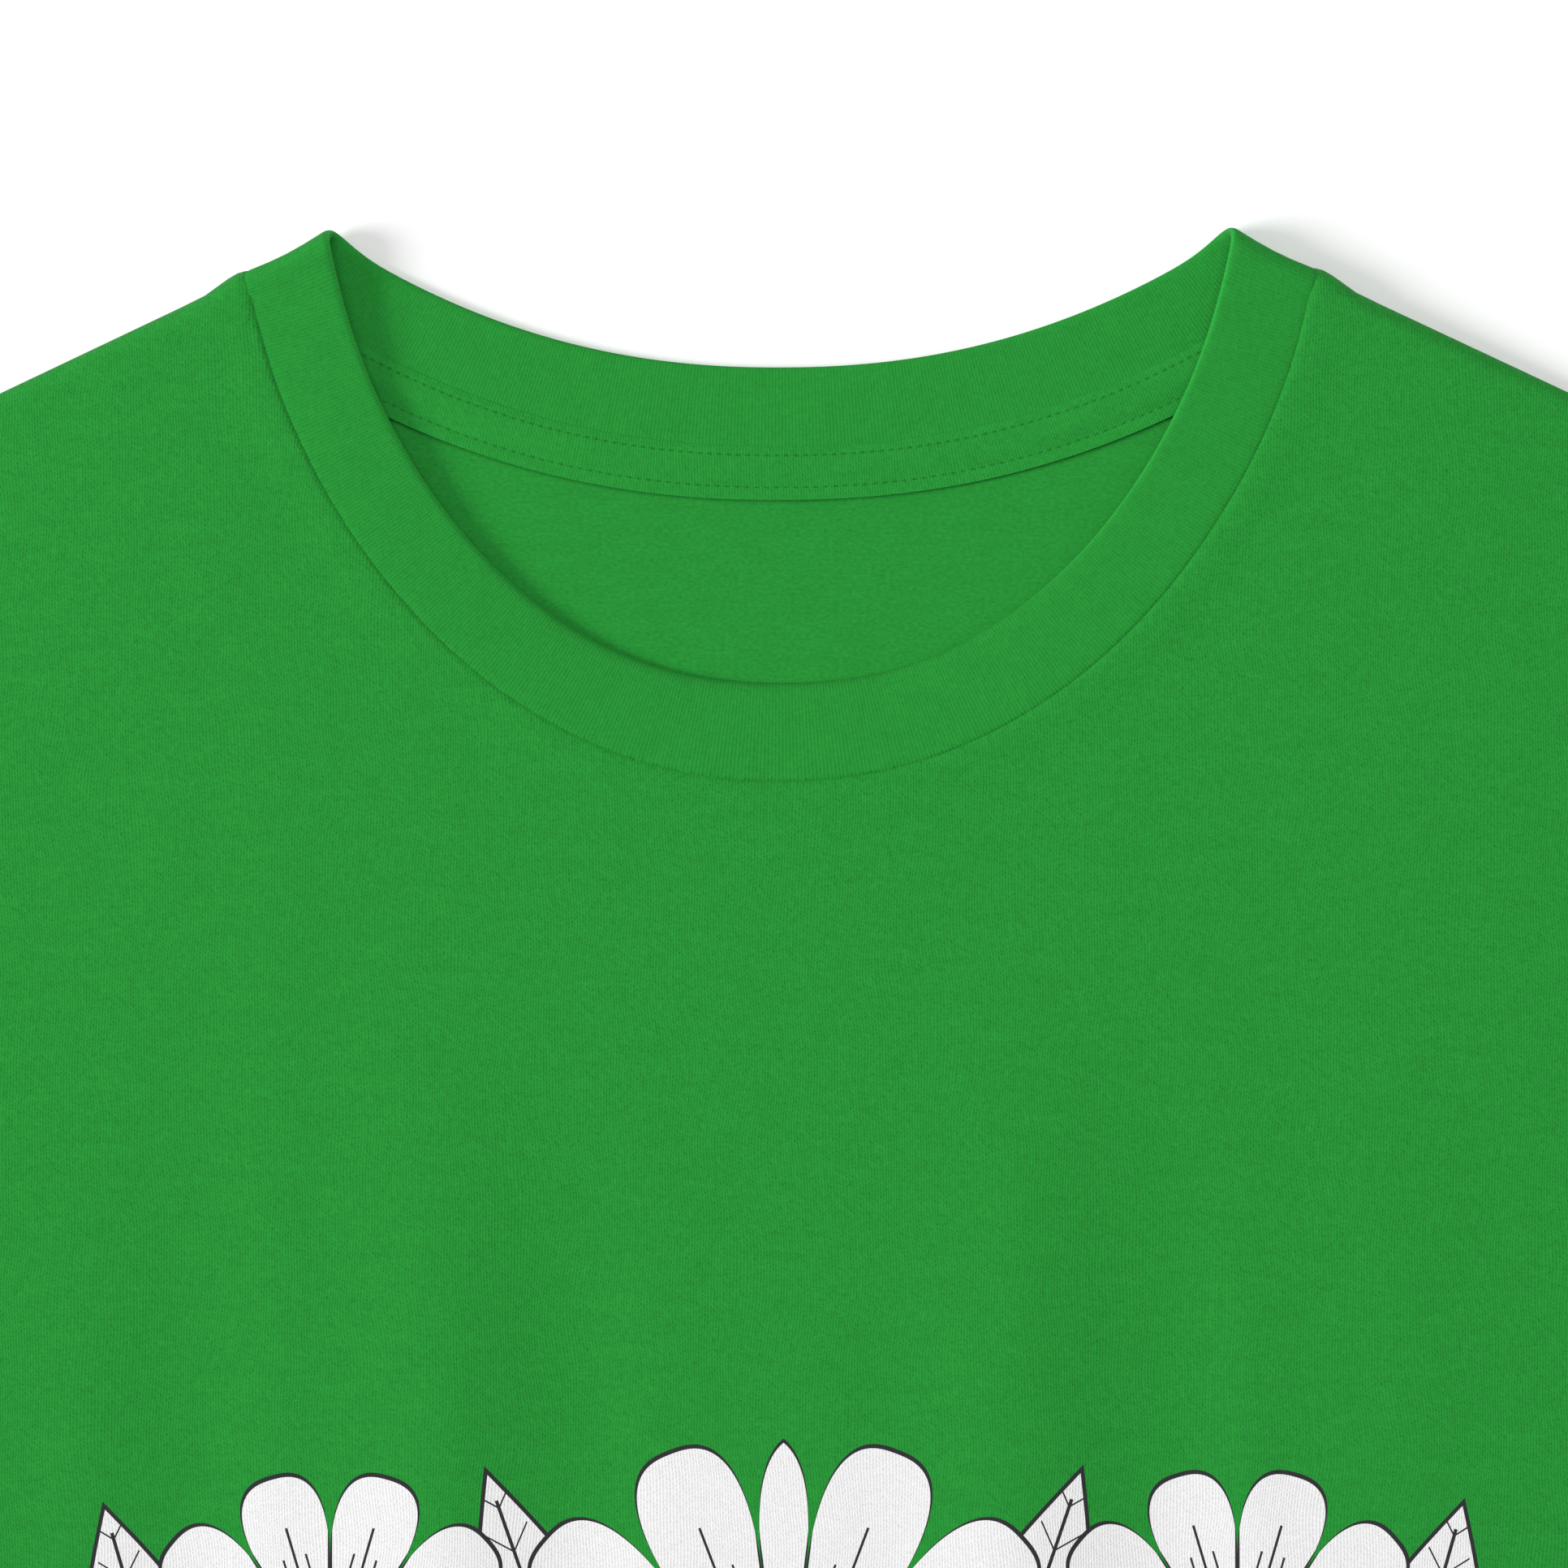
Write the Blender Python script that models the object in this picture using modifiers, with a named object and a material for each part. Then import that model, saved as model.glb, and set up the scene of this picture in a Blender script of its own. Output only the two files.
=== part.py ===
"""Long-sleeve crew-neck t-shirt, laid flat on its back on a surface.

The shirt lies face up: +X is to the right of someone who looks at its front, +Y runs
from the hem up to the neck, and +Z is up. The underside of the back panel and of the
sleeves is flat at z = 0. Every piece is a wall of cloth. It is drawn as the sheet in the
middle of that wall, and Solidify then gives it its thickness.

All sizes are in metres. Until the last step, y is 0 at the neck points, where the collar
folds over from front to back, and the hem is at -BODY_LENGTH.
"""

import math

import bmesh
import bpy
import numpy as np

# Overall cut of the shirt
BODY_LENGTH = 0.760
BODY_HALF_WIDTH = 0.280
SHOULDER_HALF_WIDTH = 0.262
SHOULDER_SLOPE = math.radians(25.2)
UNDERARM_Y = -0.321
ARMHOLE_SCOOP = 0.020
ARMHOLE_LEAN = 1.2
SLEEVE_LENGTH = 0.600
SLEEVE_SLOPE = math.radians(47.0)
SHOULDER_TURN = 0.100
WRIST_WIDTH = 0.100
WRIST_LEAN = math.radians(43.0)
UNDER_SLEEVE_BOW = 0.008

# Cloth
CLOTH = 0.0012
RIB_CLOTH = 0.0022
TAPE_CLOTH = 0.0010
SEAM_GAP = 0.0003
SLEEVE_SEAM_GAP = 0.0004
# The sleeve stands this much further off where the underarm's two roundings meet
UNDERARM_EXTRA_GAP = 0.0009
UNDERARM_GAP_POWER = 16

# Heights of the middle of each wall above the surface
LOWER_LAYER_Z = CLOTH / 2
UPPER_LAYER_Z = 0.0033
CLOSED_EDGE_Z = CLOTH + SEAM_GAP + CLOTH / 2
SLEEVE_FOLD_Z = 0.0015
SLEEVE_FOLD_ROUND = 0.0013
EDGE_ROUND = 0.0065
LOWER_RIB_Z = RIB_CLOTH / 2

# Collar, front half: how high the rib stands at the centre front and at the neck points
FREE_EDGE_Z = (0.0026, 0.0088)
NECK_SEAM_Z = (0.0033, 0.0074)
NECK_RISE_POWER = 3.0
NECK_RISE_SPREAD = 0.050
COLLAR_FOLD_ROUND = 0.0040

# Collar curves. The front ones are super-ellipses, the back ones powers of x.
#                half width, depth,  top y,  power in x, power in y, y of the neck point
FRONT_FREE_EDGE = (0.0853, 0.0887, 0.0030, 2.2, 1.6, -0.0010)
FRONT_NECK_SEAM = (0.1013, 0.1014, -0.0030, 2.1, 1.6, -0.0092)
#                centre y, rise to the neck point, half width, power
BACK_FREE_EDGE = (-0.0257, 0.0247, 0.0850, 2.2)
BACK_NECK_SEAM = (-0.0447, 0.0355, 0.1007, 2.24)
TAPE_LINE = (-0.0459, 0.0174, 0.0765, 2.2)
TAPE_WIDTH = 0.0100
TAPE_HALF_SPAN = 0.0880
TAPE_STEPS = 28
# Across the tape: share of its width, and height of its middle
TAPE_PROFILE = ((0.0, 0.0030), (0.46, 0.0030), (0.70, 0.0021), (1.0, 0.0020))

# Largest folds of the upper layer: start and end (x, y), half width, height.
# A height below zero is a trough.
FOLDS = (
    # x0, y0, x1, y1, half width, height
    (-0.136, -0.190, -0.128, -0.470, 0.013, 0.0010),
    (-0.114, -0.180, -0.106, -0.450, 0.014, -0.0009),
    (-0.063, -0.170, -0.067, -0.400, 0.013, 0.0012),
    (-0.043, -0.180, -0.046, -0.420, 0.013, -0.0009),
    (0.046, -0.165, 0.052, -0.430, 0.013, 0.0012),
    (0.067, -0.175, 0.076, -0.460, 0.015, -0.0010),
    (-0.200, -0.480, -0.176, -0.748, 0.020, 0.0012),
    (-0.040, -0.520, -0.052, -0.752, 0.026, 0.0011),
    (0.168, -0.470, 0.150, -0.745, 0.022, 0.0010),
    (0.262, -0.322, 0.190, -0.262, 0.012, 0.0015),
    (0.258, -0.345, 0.176, -0.330, 0.011, 0.0012),
    (-0.260, -0.320, -0.184, -0.252, 0.012, 0.0014),
    (-0.258, -0.350, -0.186, -0.348, 0.012, 0.0011),
    (0.300, -0.320, 0.336, -0.236, 0.012, 0.0014),
    (0.352, -0.352, 0.392, -0.296, 0.012, 0.0011),
    (0.440, -0.408, 0.486, -0.352, 0.012, 0.0015),
    (0.470, -0.446, 0.528, -0.392, 0.011, -0.0009),
    (0.508, -0.470, 0.560, -0.428, 0.010, 0.0012),
    (-0.302, -0.316, -0.342, -0.228, 0.012, 0.0015),
    (-0.372, -0.360, -0.400, -0.300, 0.011, 0.0011),
    (-0.448, -0.420, -0.500, -0.350, 0.013, 0.0014),
    (-0.486, -0.450, -0.536, -0.404, 0.010, -0.0009),
    (-0.534, -0.486, -0.586, -0.446, 0.011, 0.0012),
)

# Grid lines
EDGE_STEPS = (0.0, 0.0015, 0.0040, 0.0070)
NECK_FOLD_STEPS = (0.0, 0.0065, 0.016, 0.030, 0.052, 0.085, 0.130)
NECK_EVEN_STEPS = 11
SHOULDER_COLUMNS = 6
HEM_NECK_HALF_WIDTH = 0.112
SIDE_ROWS = 15
RIB_COLUMNS = 4
SLEEVE_ROWS = 26
SLEEVE_ROW_BIAS = 1.08
SLEEVE_UPPER_COLUMNS = 9
SLEEVE_LOWER_COLUMNS = 5
SLEEVE_UPPER_STEPS = (0.0, 0.0008, 0.0022, 0.0042, 0.0070)
SLEEVE_LOWER_STEPS = (0.0, 0.0004, 0.0014)
WELD = 1e-6

# Samples along curves that other points are measured from
SLEEVE_TOP_SAMPLES = 241
CLOSED_EDGE_SAMPLES = 31
NECK_SEAM_SAMPLES = 49

GREEN = (0.0232, 0.2874, 0.0409, 1.0)
COLLAR_GREEN = (0.0242, 0.2950, 0.0423, 1.0)
CLOTH_ROUGHNESS = 0.9

GARMENT = "long_sleeve_t_shirt"
NECK_TIP = np.array((0.1013, -0.0088))
SHOULDER_TIP = np.array(
    (SHOULDER_HALF_WIDTH, NECK_TIP[1] - (SHOULDER_HALF_WIDTH - NECK_TIP[0]) * math.tan(SHOULDER_SLOPE))
)
UNDERARM = np.array((BODY_HALF_WIDTH, UNDERARM_Y))
HEM_CORNER = np.array((BODY_HALF_WIDTH, -BODY_LENGTH))
ARMHOLE_DEPTH = float(np.linalg.norm(UNDERARM - SHOULDER_TIP))


# Curves of the cut, each for the side at +X


def front_curve(curve, share):
    """Points of a front collar curve. share runs from -1 at one neck point over 0 to 1."""
    half_width, depth, top, power_x, power_y, tip_y = curve
    last = math.acos(((top - tip_y) / depth) ** (power_y / 2))
    angle = np.asarray(share, float) * last
    x = half_width * np.sign(angle) * np.abs(np.sin(angle)) ** (2 / power_x)
    y = top - depth * np.cos(angle) ** (2 / power_y)
    return np.stack((x, y), -1)


def back_curve(curve, share):
    """Points of a back collar curve. share runs from -1 at one neck point over 0 to 1."""
    centre, rise, half_width, power = curve
    share = np.asarray(share, float)
    return np.stack((half_width * share, centre + rise * np.abs(share) ** power), -1)


def beside(points, distance):
    """The same line moved sideways by distance, to the right of its direction."""
    along = np.gradient(points, axis=0)
    along /= np.linalg.norm(along, axis=1)[:, None]
    return points + distance * np.stack((along[:, 1], -along[:, 0]), -1)


def armhole(share):
    """The armhole from the shoulder tip (0) to the underarm (1)."""
    share = np.asarray(share, float)[:, None]
    chord = SHOULDER_TIP + share * (UNDERARM - SHOULDER_TIP)
    scoop = ARMHOLE_SCOOP * np.sin(math.pi * share**ARMHOLE_LEAN)
    return chord - scoop * np.array((1.0, 0.0))


def sleeve_head(share):
    """The sleeve's edge along the armhole, which stays clear of the body's rounded side."""
    share = np.asarray(share, float)
    gap = SLEEVE_SEAM_GAP + UNDERARM_EXTRA_GAP * share**UNDERARM_GAP_POWER
    return armhole(share) + np.stack((gap, 0.0 * gap), -1)


def sleeve_top(share):
    """The sleeve's upper fold from the shoulder tip (0) to the wrist (1)."""
    fine = np.linspace(0.0, 1.0, SLEEVE_TOP_SAMPLES)
    turned = np.clip(fine * SLEEVE_LENGTH / SHOULDER_TURN, 0.0, 1.0)
    slope = SHOULDER_SLOPE + (SLEEVE_SLOPE - SHOULDER_SLOPE) * turned**2 * (3 - 2 * turned)
    step = SLEEVE_LENGTH * np.diff(fine)
    middle = (slope[1:] + slope[:-1]) / 2
    x = SHOULDER_TIP[0] + np.concatenate(((0.0,), np.cumsum(step * np.cos(middle))))
    y = SHOULDER_TIP[1] - np.concatenate(((0.0,), np.cumsum(step * np.sin(middle))))
    return np.stack((np.interp(share, fine, x), np.interp(share, fine, y)), -1)


def wrist_corner():
    """The lower corner of the wrist opening."""
    across = np.array((-math.sin(WRIST_LEAN), -math.cos(WRIST_LEAN)))
    return sleeve_top([1.0])[0] + WRIST_WIDTH * across


def sleeve_bottom(share):
    """The sleeve's lower fold from the underarm (0) to the wrist (1)."""
    share = np.asarray(share, float)[:, None]
    corner = wrist_corner()
    run = corner - UNDERARM
    outward = np.array((run[1], -run[0])) / np.linalg.norm(run)
    return UNDERARM + share * run + outward * UNDER_SLEEVE_BOW * np.sin(math.pi * share)


def closed_edges():
    """Start and end points of short stretches of the edges where the two layers join."""
    shares = np.linspace(0.0, 1.0, CLOSED_EDGE_SAMPLES)
    upper = np.vstack((NECK_TIP, sleeve_top(shares)))
    lower = np.vstack((HEM_CORNER, sleeve_bottom(shares)))
    starts = np.vstack((upper[:-1], lower[:-1]))
    ends = np.vstack((upper[1:], lower[1:]))
    return starts, ends


# Height of the upper layer


def nearest_on(points, starts, ends):
    """Distance from each point to the nearest of some stretches, and that stretch's number."""
    run = ends - starts
    length = (run**2).sum(-1)
    offset = points[..., None, :] - starts
    share = np.clip((offset * run).sum(-1) / length, 0.0, 1.0)
    gap = np.linalg.norm(offset - share[..., None] * run, axis=-1)
    best = gap.argmin(-1)
    return gap.min(-1), best


def round_off(share):
    """Quarter-round from 0 at a closed edge to 1 inside."""
    inner = 1.0 - np.clip(share, 0.0, 1.0)
    return np.sqrt(1.0 - inner**2)


def neck_height(levels, share):
    """Height of a front collar line, from the centre front to the neck points."""
    return levels[0] + (levels[1] - levels[0]) * np.abs(share) ** NECK_RISE_POWER


def folds_height(points):
    """Sum of the large folds at each point."""
    height = np.zeros(points.shape[:-1])
    for x0, y0, x1, y1, half_width, rise in FOLDS:
        start, end = np.array((x0, y0)), np.array((x1, y1))
        gap, _ = nearest_on(points, start[None], end[None])
        height += rise * np.exp(-((gap / half_width) ** 2))
    return height


def upper_layer(points, edge_z):
    """Height of the middle of the upper layer, which rounds down to edge_z at closed edges."""
    mirrored = np.stack((np.abs(points[..., 0]), points[..., 1]), -1)
    shares = np.linspace(0.0, 1.0, NECK_SEAM_SAMPLES)
    seam = front_curve(FRONT_NECK_SEAM, shares)
    from_neck, at = nearest_on(mirrored, seam[:-1], seam[1:])
    collar_z = neck_height(NECK_SEAM_Z, shares[at])
    level = UPPER_LAYER_Z + folds_height(points)
    near = np.exp(-((from_neck / NECK_RISE_SPREAD) ** 2))
    level = level + (collar_z - level) * near
    from_edge, _ = nearest_on(mirrored, *closed_edges())
    return edge_z + (level - edge_z) * round_off(from_edge / EDGE_ROUND)


# Grids


def neck_shares():
    """Shares from -1 to 1 along a collar curve, with fine steps where it folds over."""
    even = np.linspace(NECK_FOLD_STEPS[-1], 1.0, NECK_EVEN_STEPS + 1)[1:]
    left = np.concatenate((NECK_FOLD_STEPS, even)) - 1.0
    return np.concatenate((left, -left[-2::-1]))


def body_grid():
    """Plan of the front panel, rows from the hem to the top, columns from left to right."""
    neck = front_curve(FRONT_NECK_SEAM, neck_shares())
    neck = beside(neck, SEAM_GAP)
    neck[0], neck[-1] = (-NECK_TIP[0] - SEAM_GAP, NECK_TIP[1]), (NECK_TIP[0] + SEAM_GAP, NECK_TIP[1])
    shoulder_run = SHOULDER_TIP - neck[-1]
    shoulder_length = np.linalg.norm(shoulder_run)
    inner = np.linspace(0.0, shoulder_length - EDGE_STEPS[-1], SHOULDER_COLUMNS + 1)[1:]
    outer = shoulder_length - np.array(EDGE_STEPS[-2::-1])
    right = neck[-1] + np.concatenate((inner, outer))[:, None] * shoulder_run / shoulder_length
    left = right[::-1] * (-1.0, 1.0)
    top = np.vstack((left, neck, right))

    hem_inner = np.linspace(HEM_NECK_HALF_WIDTH, BODY_HALF_WIDTH - EDGE_STEPS[-1], SHOULDER_COLUMNS + 1)[1:]
    hem_outer = BODY_HALF_WIDTH - np.array(EDGE_STEPS[-2::-1])
    hem_right = np.concatenate((hem_inner, hem_outer))
    hem_neck = np.linspace(-HEM_NECK_HALF_WIDTH, HEM_NECK_HALF_WIDTH, len(neck))
    hem_x = np.concatenate((-hem_right[::-1], hem_neck, hem_right))
    hem = np.stack((hem_x, np.full(len(hem_x), -BODY_LENGTH)), -1)

    side_right, down = side_line()
    side_left = side_right * (-1.0, 1.0)
    across = ((hem_x + BODY_HALF_WIDTH) / (2 * BODY_HALF_WIDTH))[None, :, None]
    up = (1.0 - down)[:, None, None]
    plan = up * top[None] + (1 - up) * hem[None]
    plan = plan + (1 - across) * side_left[:, None] + across * side_right[:, None]
    corners = (1 - across) * (up * top[0] + (1 - up) * hem[0])
    corners = corners + across * (up * top[-1] + (1 - up) * hem[-1])
    return (plan - corners)[::-1]


def side_line():
    """Right edge of a panel from the shoulder tip to the hem, and how far down each row is."""
    hole = armhole(across_steps(SLEEVE_UPPER_STEPS, SLEEVE_UPPER_COLUMNS, ARMHOLE_DEPTH))
    side = UNDERARM + np.linspace(0.0, 1.0, SIDE_ROWS + 1)[1:, None] * (HEM_CORNER - UNDERARM)
    points = np.vstack((hole, side))
    run = np.concatenate(((0.0,), np.cumsum(np.linalg.norm(np.diff(points, axis=0), axis=1))))
    return points, run / run[-1]


def with_height(plan, height):
    """Plan points with their height, as a grid of (x, y, z)."""
    return np.concatenate((plan, np.broadcast_to(height, plan.shape[:-1])[..., None]), -1)


def collar_half(free_curve, seam_curve, lines, free_z, seam_z):
    """One half of the collar, from the left neck point to the right one.

    It rounds over at the neck points to the height where the other half begins.
    """
    shares = neck_shares()
    free, seam = lines(free_curve, shares), lines(seam_curve, shares)
    columns = []
    for across in np.linspace(0.0, 1.0, RIB_COLUMNS + 1):
        plan = free + across * (seam - free)
        level = free_z(shares) + across * (seam_z(shares) - free_z(shares))
        fold_z = (1 - across) * (FREE_EDGE_Z[1] + LOWER_RIB_Z) / 2
        fold_z += across * (NECK_SEAM_Z[1] + LOWER_RIB_Z) / 2
        run = np.minimum(
            np.linalg.norm(plan - plan[0], axis=1), np.linalg.norm(plan - plan[-1], axis=1)
        )
        height = fold_z + (level - fold_z) * round_off(run / COLLAR_FOLD_ROUND)
        columns.append(np.concatenate((plan, height[:, None]), -1))
    return np.array(columns)


def collar_grid():
    """The whole collar ring: front half left to right, then back half right to left."""
    front = collar_half(
        FRONT_FREE_EDGE,
        FRONT_NECK_SEAM,
        front_curve,
        lambda share: neck_height(FREE_EDGE_Z, share),
        lambda share: neck_height(NECK_SEAM_Z, share),
    )
    flat = np.vectorize(lambda share: LOWER_RIB_Z)
    back = collar_half(BACK_FREE_EDGE, BACK_NECK_SEAM, back_curve, flat, flat)
    turned = back[:, ::-1]
    turned[:, 0], turned[:, -1] = front[:, -1], front[:, 0]
    return np.concatenate((front, turned[:, 1:]), 1)


def tape_grid():
    """The tape over the back neck seam, rows across it and columns along it."""
    shares = np.linspace(-1.0, 1.0, TAPE_STEPS + 1) * TAPE_HALF_SPAN / TAPE_LINE[2]
    middle = back_curve(TAPE_LINE, shares)
    rows = []
    for share, height in reversed(TAPE_PROFILE):
        rows.append(with_height(beside(middle, (share - 0.5) * TAPE_WIDTH), height))
    return np.array(rows)


def across_steps(steps, columns, width):
    """Shares of a width with fine steps at both folds and even ones between."""
    near = np.array(steps) / width
    middle = np.linspace(near[-1], 1.0 - near[-1], columns + 1)[1:-1]
    return np.concatenate((near, middle, 1.0 - near[::-1]))


def sleeve_grid(side):
    """A sleeve as a flattened tube: round it by columns, and rows from the armhole to the wrist.

    side is 1 for the sleeve at +X and -1 for the other.
    """
    rows = []
    for along in np.linspace(0.0, 1.0, SLEEVE_ROWS + 1) ** SLEEVE_ROW_BIAS:
        head = sleeve_head([0.0, 1.0])
        top = sleeve_top([along])[0] + (1 - along) * (head[0] - SHOULDER_TIP)
        bottom = sleeve_bottom([along])[0] + (1 - along) * (head[1] - UNDERARM)
        width = np.linalg.norm(bottom - top)
        upper = across_steps(SLEEVE_UPPER_STEPS, SLEEVE_UPPER_COLUMNS, width)
        lower = across_steps(SLEEVE_LOWER_STEPS, SLEEVE_LOWER_COLUMNS, width)
        upper_plan = sleeve_row(upper, along, top, bottom)
        lower_plan = sleeve_row(lower, along, top, bottom)
        upper_z = upper_layer(upper_plan * (side, 1.0), SLEEVE_FOLD_Z)
        edge = np.minimum(lower, 1.0 - lower) * width
        lower_z = SLEEVE_FOLD_Z + (LOWER_LAYER_Z - SLEEVE_FOLD_Z) * round_off(edge / SLEEVE_FOLD_ROUND)
        upper_z[0] = upper_z[-1] = SLEEVE_FOLD_Z
        ring = np.vstack((with_height(upper_plan, upper_z), with_height(lower_plan, lower_z)[-2::-1]))
        rows.append(ring * (side, 1.0, 1.0))
    return np.array(rows)


def sleeve_row(shares, along, top, bottom):
    """Plan of one line across a sleeve, which bends with the armhole near the body."""
    straight = top + shares[:, None] * (bottom - top)
    hole = sleeve_head(shares)
    chord = hole[0] + shares[:, None] * (hole[-1] - hole[0])
    return straight + (1 - along) ** 2 * (hole - chord)


def back_outline():
    """Outline of the back panel, anticlockwise from the left neck point."""
    neck = back_curve(BACK_NECK_SEAM, neck_shares())
    neck = beside(neck, SEAM_GAP)
    neck[0], neck[-1] = (-NECK_TIP[0] - SEAM_GAP, NECK_TIP[1]), (NECK_TIP[0] + SEAM_GAP, NECK_TIP[1])
    hole = armhole(across_steps(SLEEVE_LOWER_STEPS, SLEEVE_LOWER_COLUMNS, ARMHOLE_DEPTH))
    right = np.vstack((hole, HEM_CORNER))
    left = right[::-1] * (-1.0, 1.0)
    return np.vstack((neck, right, left))


# Objects


def finish_of(name, colour):
    """A matt cloth material."""
    material = bpy.data.materials.new(name)
    material.use_nodes = True
    shader = material.node_tree.nodes["Principled BSDF"]
    shader.inputs["Base Color"].default_value = colour
    shader.inputs["Roughness"].default_value = CLOTH_ROUGHNESS
    shader.inputs["Metallic"].default_value = 0.0
    return material


def place(obj, collection, colour):
    """Links an object, gives it its material, and centres the shirt's length on the origin."""
    collection.objects.link(obj)
    obj.data.materials.append(finish_of(obj.name + "_cloth", colour))
    obj.location = (0.0, BODY_LENGTH / 2, 0.0)
    return obj


def grid_object(name, points, thickness, closed=False):
    """A sheet of cloth whose grid takes the given points, thickened to a wall.

    The points' first axis is the grid's rows. A closed grid's last column is its first.
    """
    rows, columns = points.shape[0] - 1, points.shape[1] - 1
    sheet = bmesh.new()
    bmesh.ops.create_grid(sheet, x_segments=columns, y_segments=rows, size=0.5)
    for vertex in sheet.verts:
        column = round((vertex.co.x + 0.5) * columns)
        row = round((vertex.co.y + 0.5) * rows)
        vertex.co = points[row, column]
    if closed:
        bmesh.ops.remove_doubles(sheet, verts=sheet.verts, dist=WELD)
        bmesh.ops.recalc_face_normals(sheet, faces=sheet.faces)
    mesh = bpy.data.meshes.new(name)
    sheet.to_mesh(mesh)
    sheet.free()
    mesh.shade_smooth()
    obj = bpy.data.objects.new(name, mesh)
    wall = obj.modifiers.new("wall", "SOLIDIFY")
    wall.thickness = thickness
    wall.offset = 0.0
    return obj


def flat_panel(name, outline, thickness):
    """A flat panel from its outline, lying on the surface."""
    curve = bpy.data.curves.new(name, "CURVE")
    curve.dimensions = "2D"
    curve.fill_mode = "BOTH"
    curve.extrude = thickness / 2
    spline = curve.splines.new("POLY")
    spline.points.add(len(outline) - 1)
    for point, (x, y) in zip(spline.points, outline):
        point.co = (x, y, 0.0, 1.0)
    spline.use_cyclic_u = True
    return bpy.data.objects.new(name, curve)


def build():
    """Makes every piece of the shirt."""
    for old in list(bpy.data.objects):
        bpy.data.objects.remove(old, do_unlink=True)
    collection = bpy.data.collections.new(GARMENT)
    bpy.context.scene.collection.children.link(collection)

    plan = body_grid()
    front = with_height(plan, upper_layer(plan, CLOSED_EDGE_Z))
    place(grid_object("front_panel", front, CLOTH), collection, GREEN)

    back = place(flat_panel("back_panel", back_outline(), CLOTH), collection, GREEN)
    back.location.z = LOWER_LAYER_Z

    place(grid_object("neck_rib", collar_grid(), RIB_CLOTH, closed=True), collection, COLLAR_GREEN)
    place(grid_object("neck_tape", tape_grid(), TAPE_CLOTH), collection, GREEN)
    for name, side in (("sleeve_left", 1), ("sleeve_right", -1)):
        place(grid_object(name, sleeve_grid(side), CLOTH, closed=True), collection, GREEN)


build()
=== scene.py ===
"""Looks of a long-sleeve crew-neck t-shirt that lies flat and face up on a pale surface.

The shirt is drawn in its cut's own plan, in metres: x across the body, y up the body with 0 at
the neck points and the hem at -body_length, z up from the surface. Each piece of cloth is a grid
of points on the same curves as its solid, with a finer surface, thickened to a thin shell.
"""

import logging
import math
from dataclasses import dataclass
from enum import Enum
from typing import Any, Callable, ClassVar, Sequence

import bpy
import numpy as np
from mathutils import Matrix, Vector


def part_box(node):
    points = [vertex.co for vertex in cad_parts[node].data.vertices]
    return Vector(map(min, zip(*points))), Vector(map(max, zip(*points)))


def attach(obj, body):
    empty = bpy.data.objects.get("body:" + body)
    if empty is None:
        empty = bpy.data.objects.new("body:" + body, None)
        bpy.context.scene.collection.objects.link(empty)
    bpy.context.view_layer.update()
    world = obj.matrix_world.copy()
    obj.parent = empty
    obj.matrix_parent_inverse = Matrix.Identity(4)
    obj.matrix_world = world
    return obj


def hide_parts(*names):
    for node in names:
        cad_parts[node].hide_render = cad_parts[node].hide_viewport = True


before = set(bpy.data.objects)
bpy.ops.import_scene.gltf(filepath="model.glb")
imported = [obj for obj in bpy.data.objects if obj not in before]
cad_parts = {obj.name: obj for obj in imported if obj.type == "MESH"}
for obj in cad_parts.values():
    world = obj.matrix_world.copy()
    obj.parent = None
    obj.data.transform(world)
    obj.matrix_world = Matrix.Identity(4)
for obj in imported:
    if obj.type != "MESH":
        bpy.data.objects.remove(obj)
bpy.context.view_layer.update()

log = logging.getLogger("shirt")

Array = np.ndarray
Colour = tuple[float, float, float, float]

BODY = "root"
CLOTH_MAP = "cloth"
WELD = 1e-6
MILLIMETRE = 0.001
TURNED_OVER = (-1.0, 1.0)
MATT_COTTON = {"Roughness": 0.95, "Sheen Weight": 0.02, "Sheen Roughness": 0.5, "Specular IOR Level": 0.10}


# Plain geometry


def pair(x: Any, y: Any) -> Array:
    """Points of a plan from their x and y."""
    return np.stack(np.broadcast_arrays(np.asarray(x, float), np.asarray(y, float)), -1)


def ramp(value: Array, start: float, end: float) -> Array:
    """Smooth rise from 0 at start to 1 at end, level on both sides."""
    share = np.clip((value - start) / (end - start), 0.0, 1.0)
    return share * share * (3 - 2 * share)


def bump(value: Array, half_width: float) -> Array:
    """Bell shape, 1 where value is 0."""
    return np.exp(-((value / half_width) ** 2))


def round_off(share: Array) -> Array:
    """Quarter-round from 0 at a folded edge to 1 inside."""
    return np.sqrt(1.0 - (1.0 - np.clip(share, 0.0, 1.0)) ** 2)


def run_of(line: Array) -> Array:
    """Length along a line up to each of its points."""
    return np.concatenate(((0.0,), np.cumsum(np.linalg.norm(np.diff(line, axis=0), axis=1))))


def along(line: Array, run: Array) -> Array:
    """Points of a line at the given lengths from its start."""
    whole = run_of(line)
    return np.stack([np.interp(run, whole, line[:, axis]) for axis in range(line.shape[1])], -1)


def spread(near: Sequence[float], far: Sequence[float], length: float, count: int) -> Array:
    """Distances from 0 to length, close together at its ends and even between.

    Args:
        near: The first distances, from 0 up.
        far: The last ones, measured back from the end, from 0 up.
        length: The whole length.
        count: How many even steps lie between.

    Returns:
        The distances in rising order.
    """
    middle = np.linspace(near[-1], length - far[-1], count + 1)[1:-1]
    return np.concatenate((near, middle, length - np.array(far[::-1])))


def beside(line: Array, distance: float) -> Array:
    """The same line moved sideways, to the right of its direction.

    Args:
        line: The line's points in order.
        distance: How far it moves.

    Returns:
        The moved line.
    """
    direction = np.gradient(line, axis=0)
    direction /= np.linalg.norm(direction, axis=1)[:, None]
    return line + distance * pair(direction[:, 1], -direction[:, 0])


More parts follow.
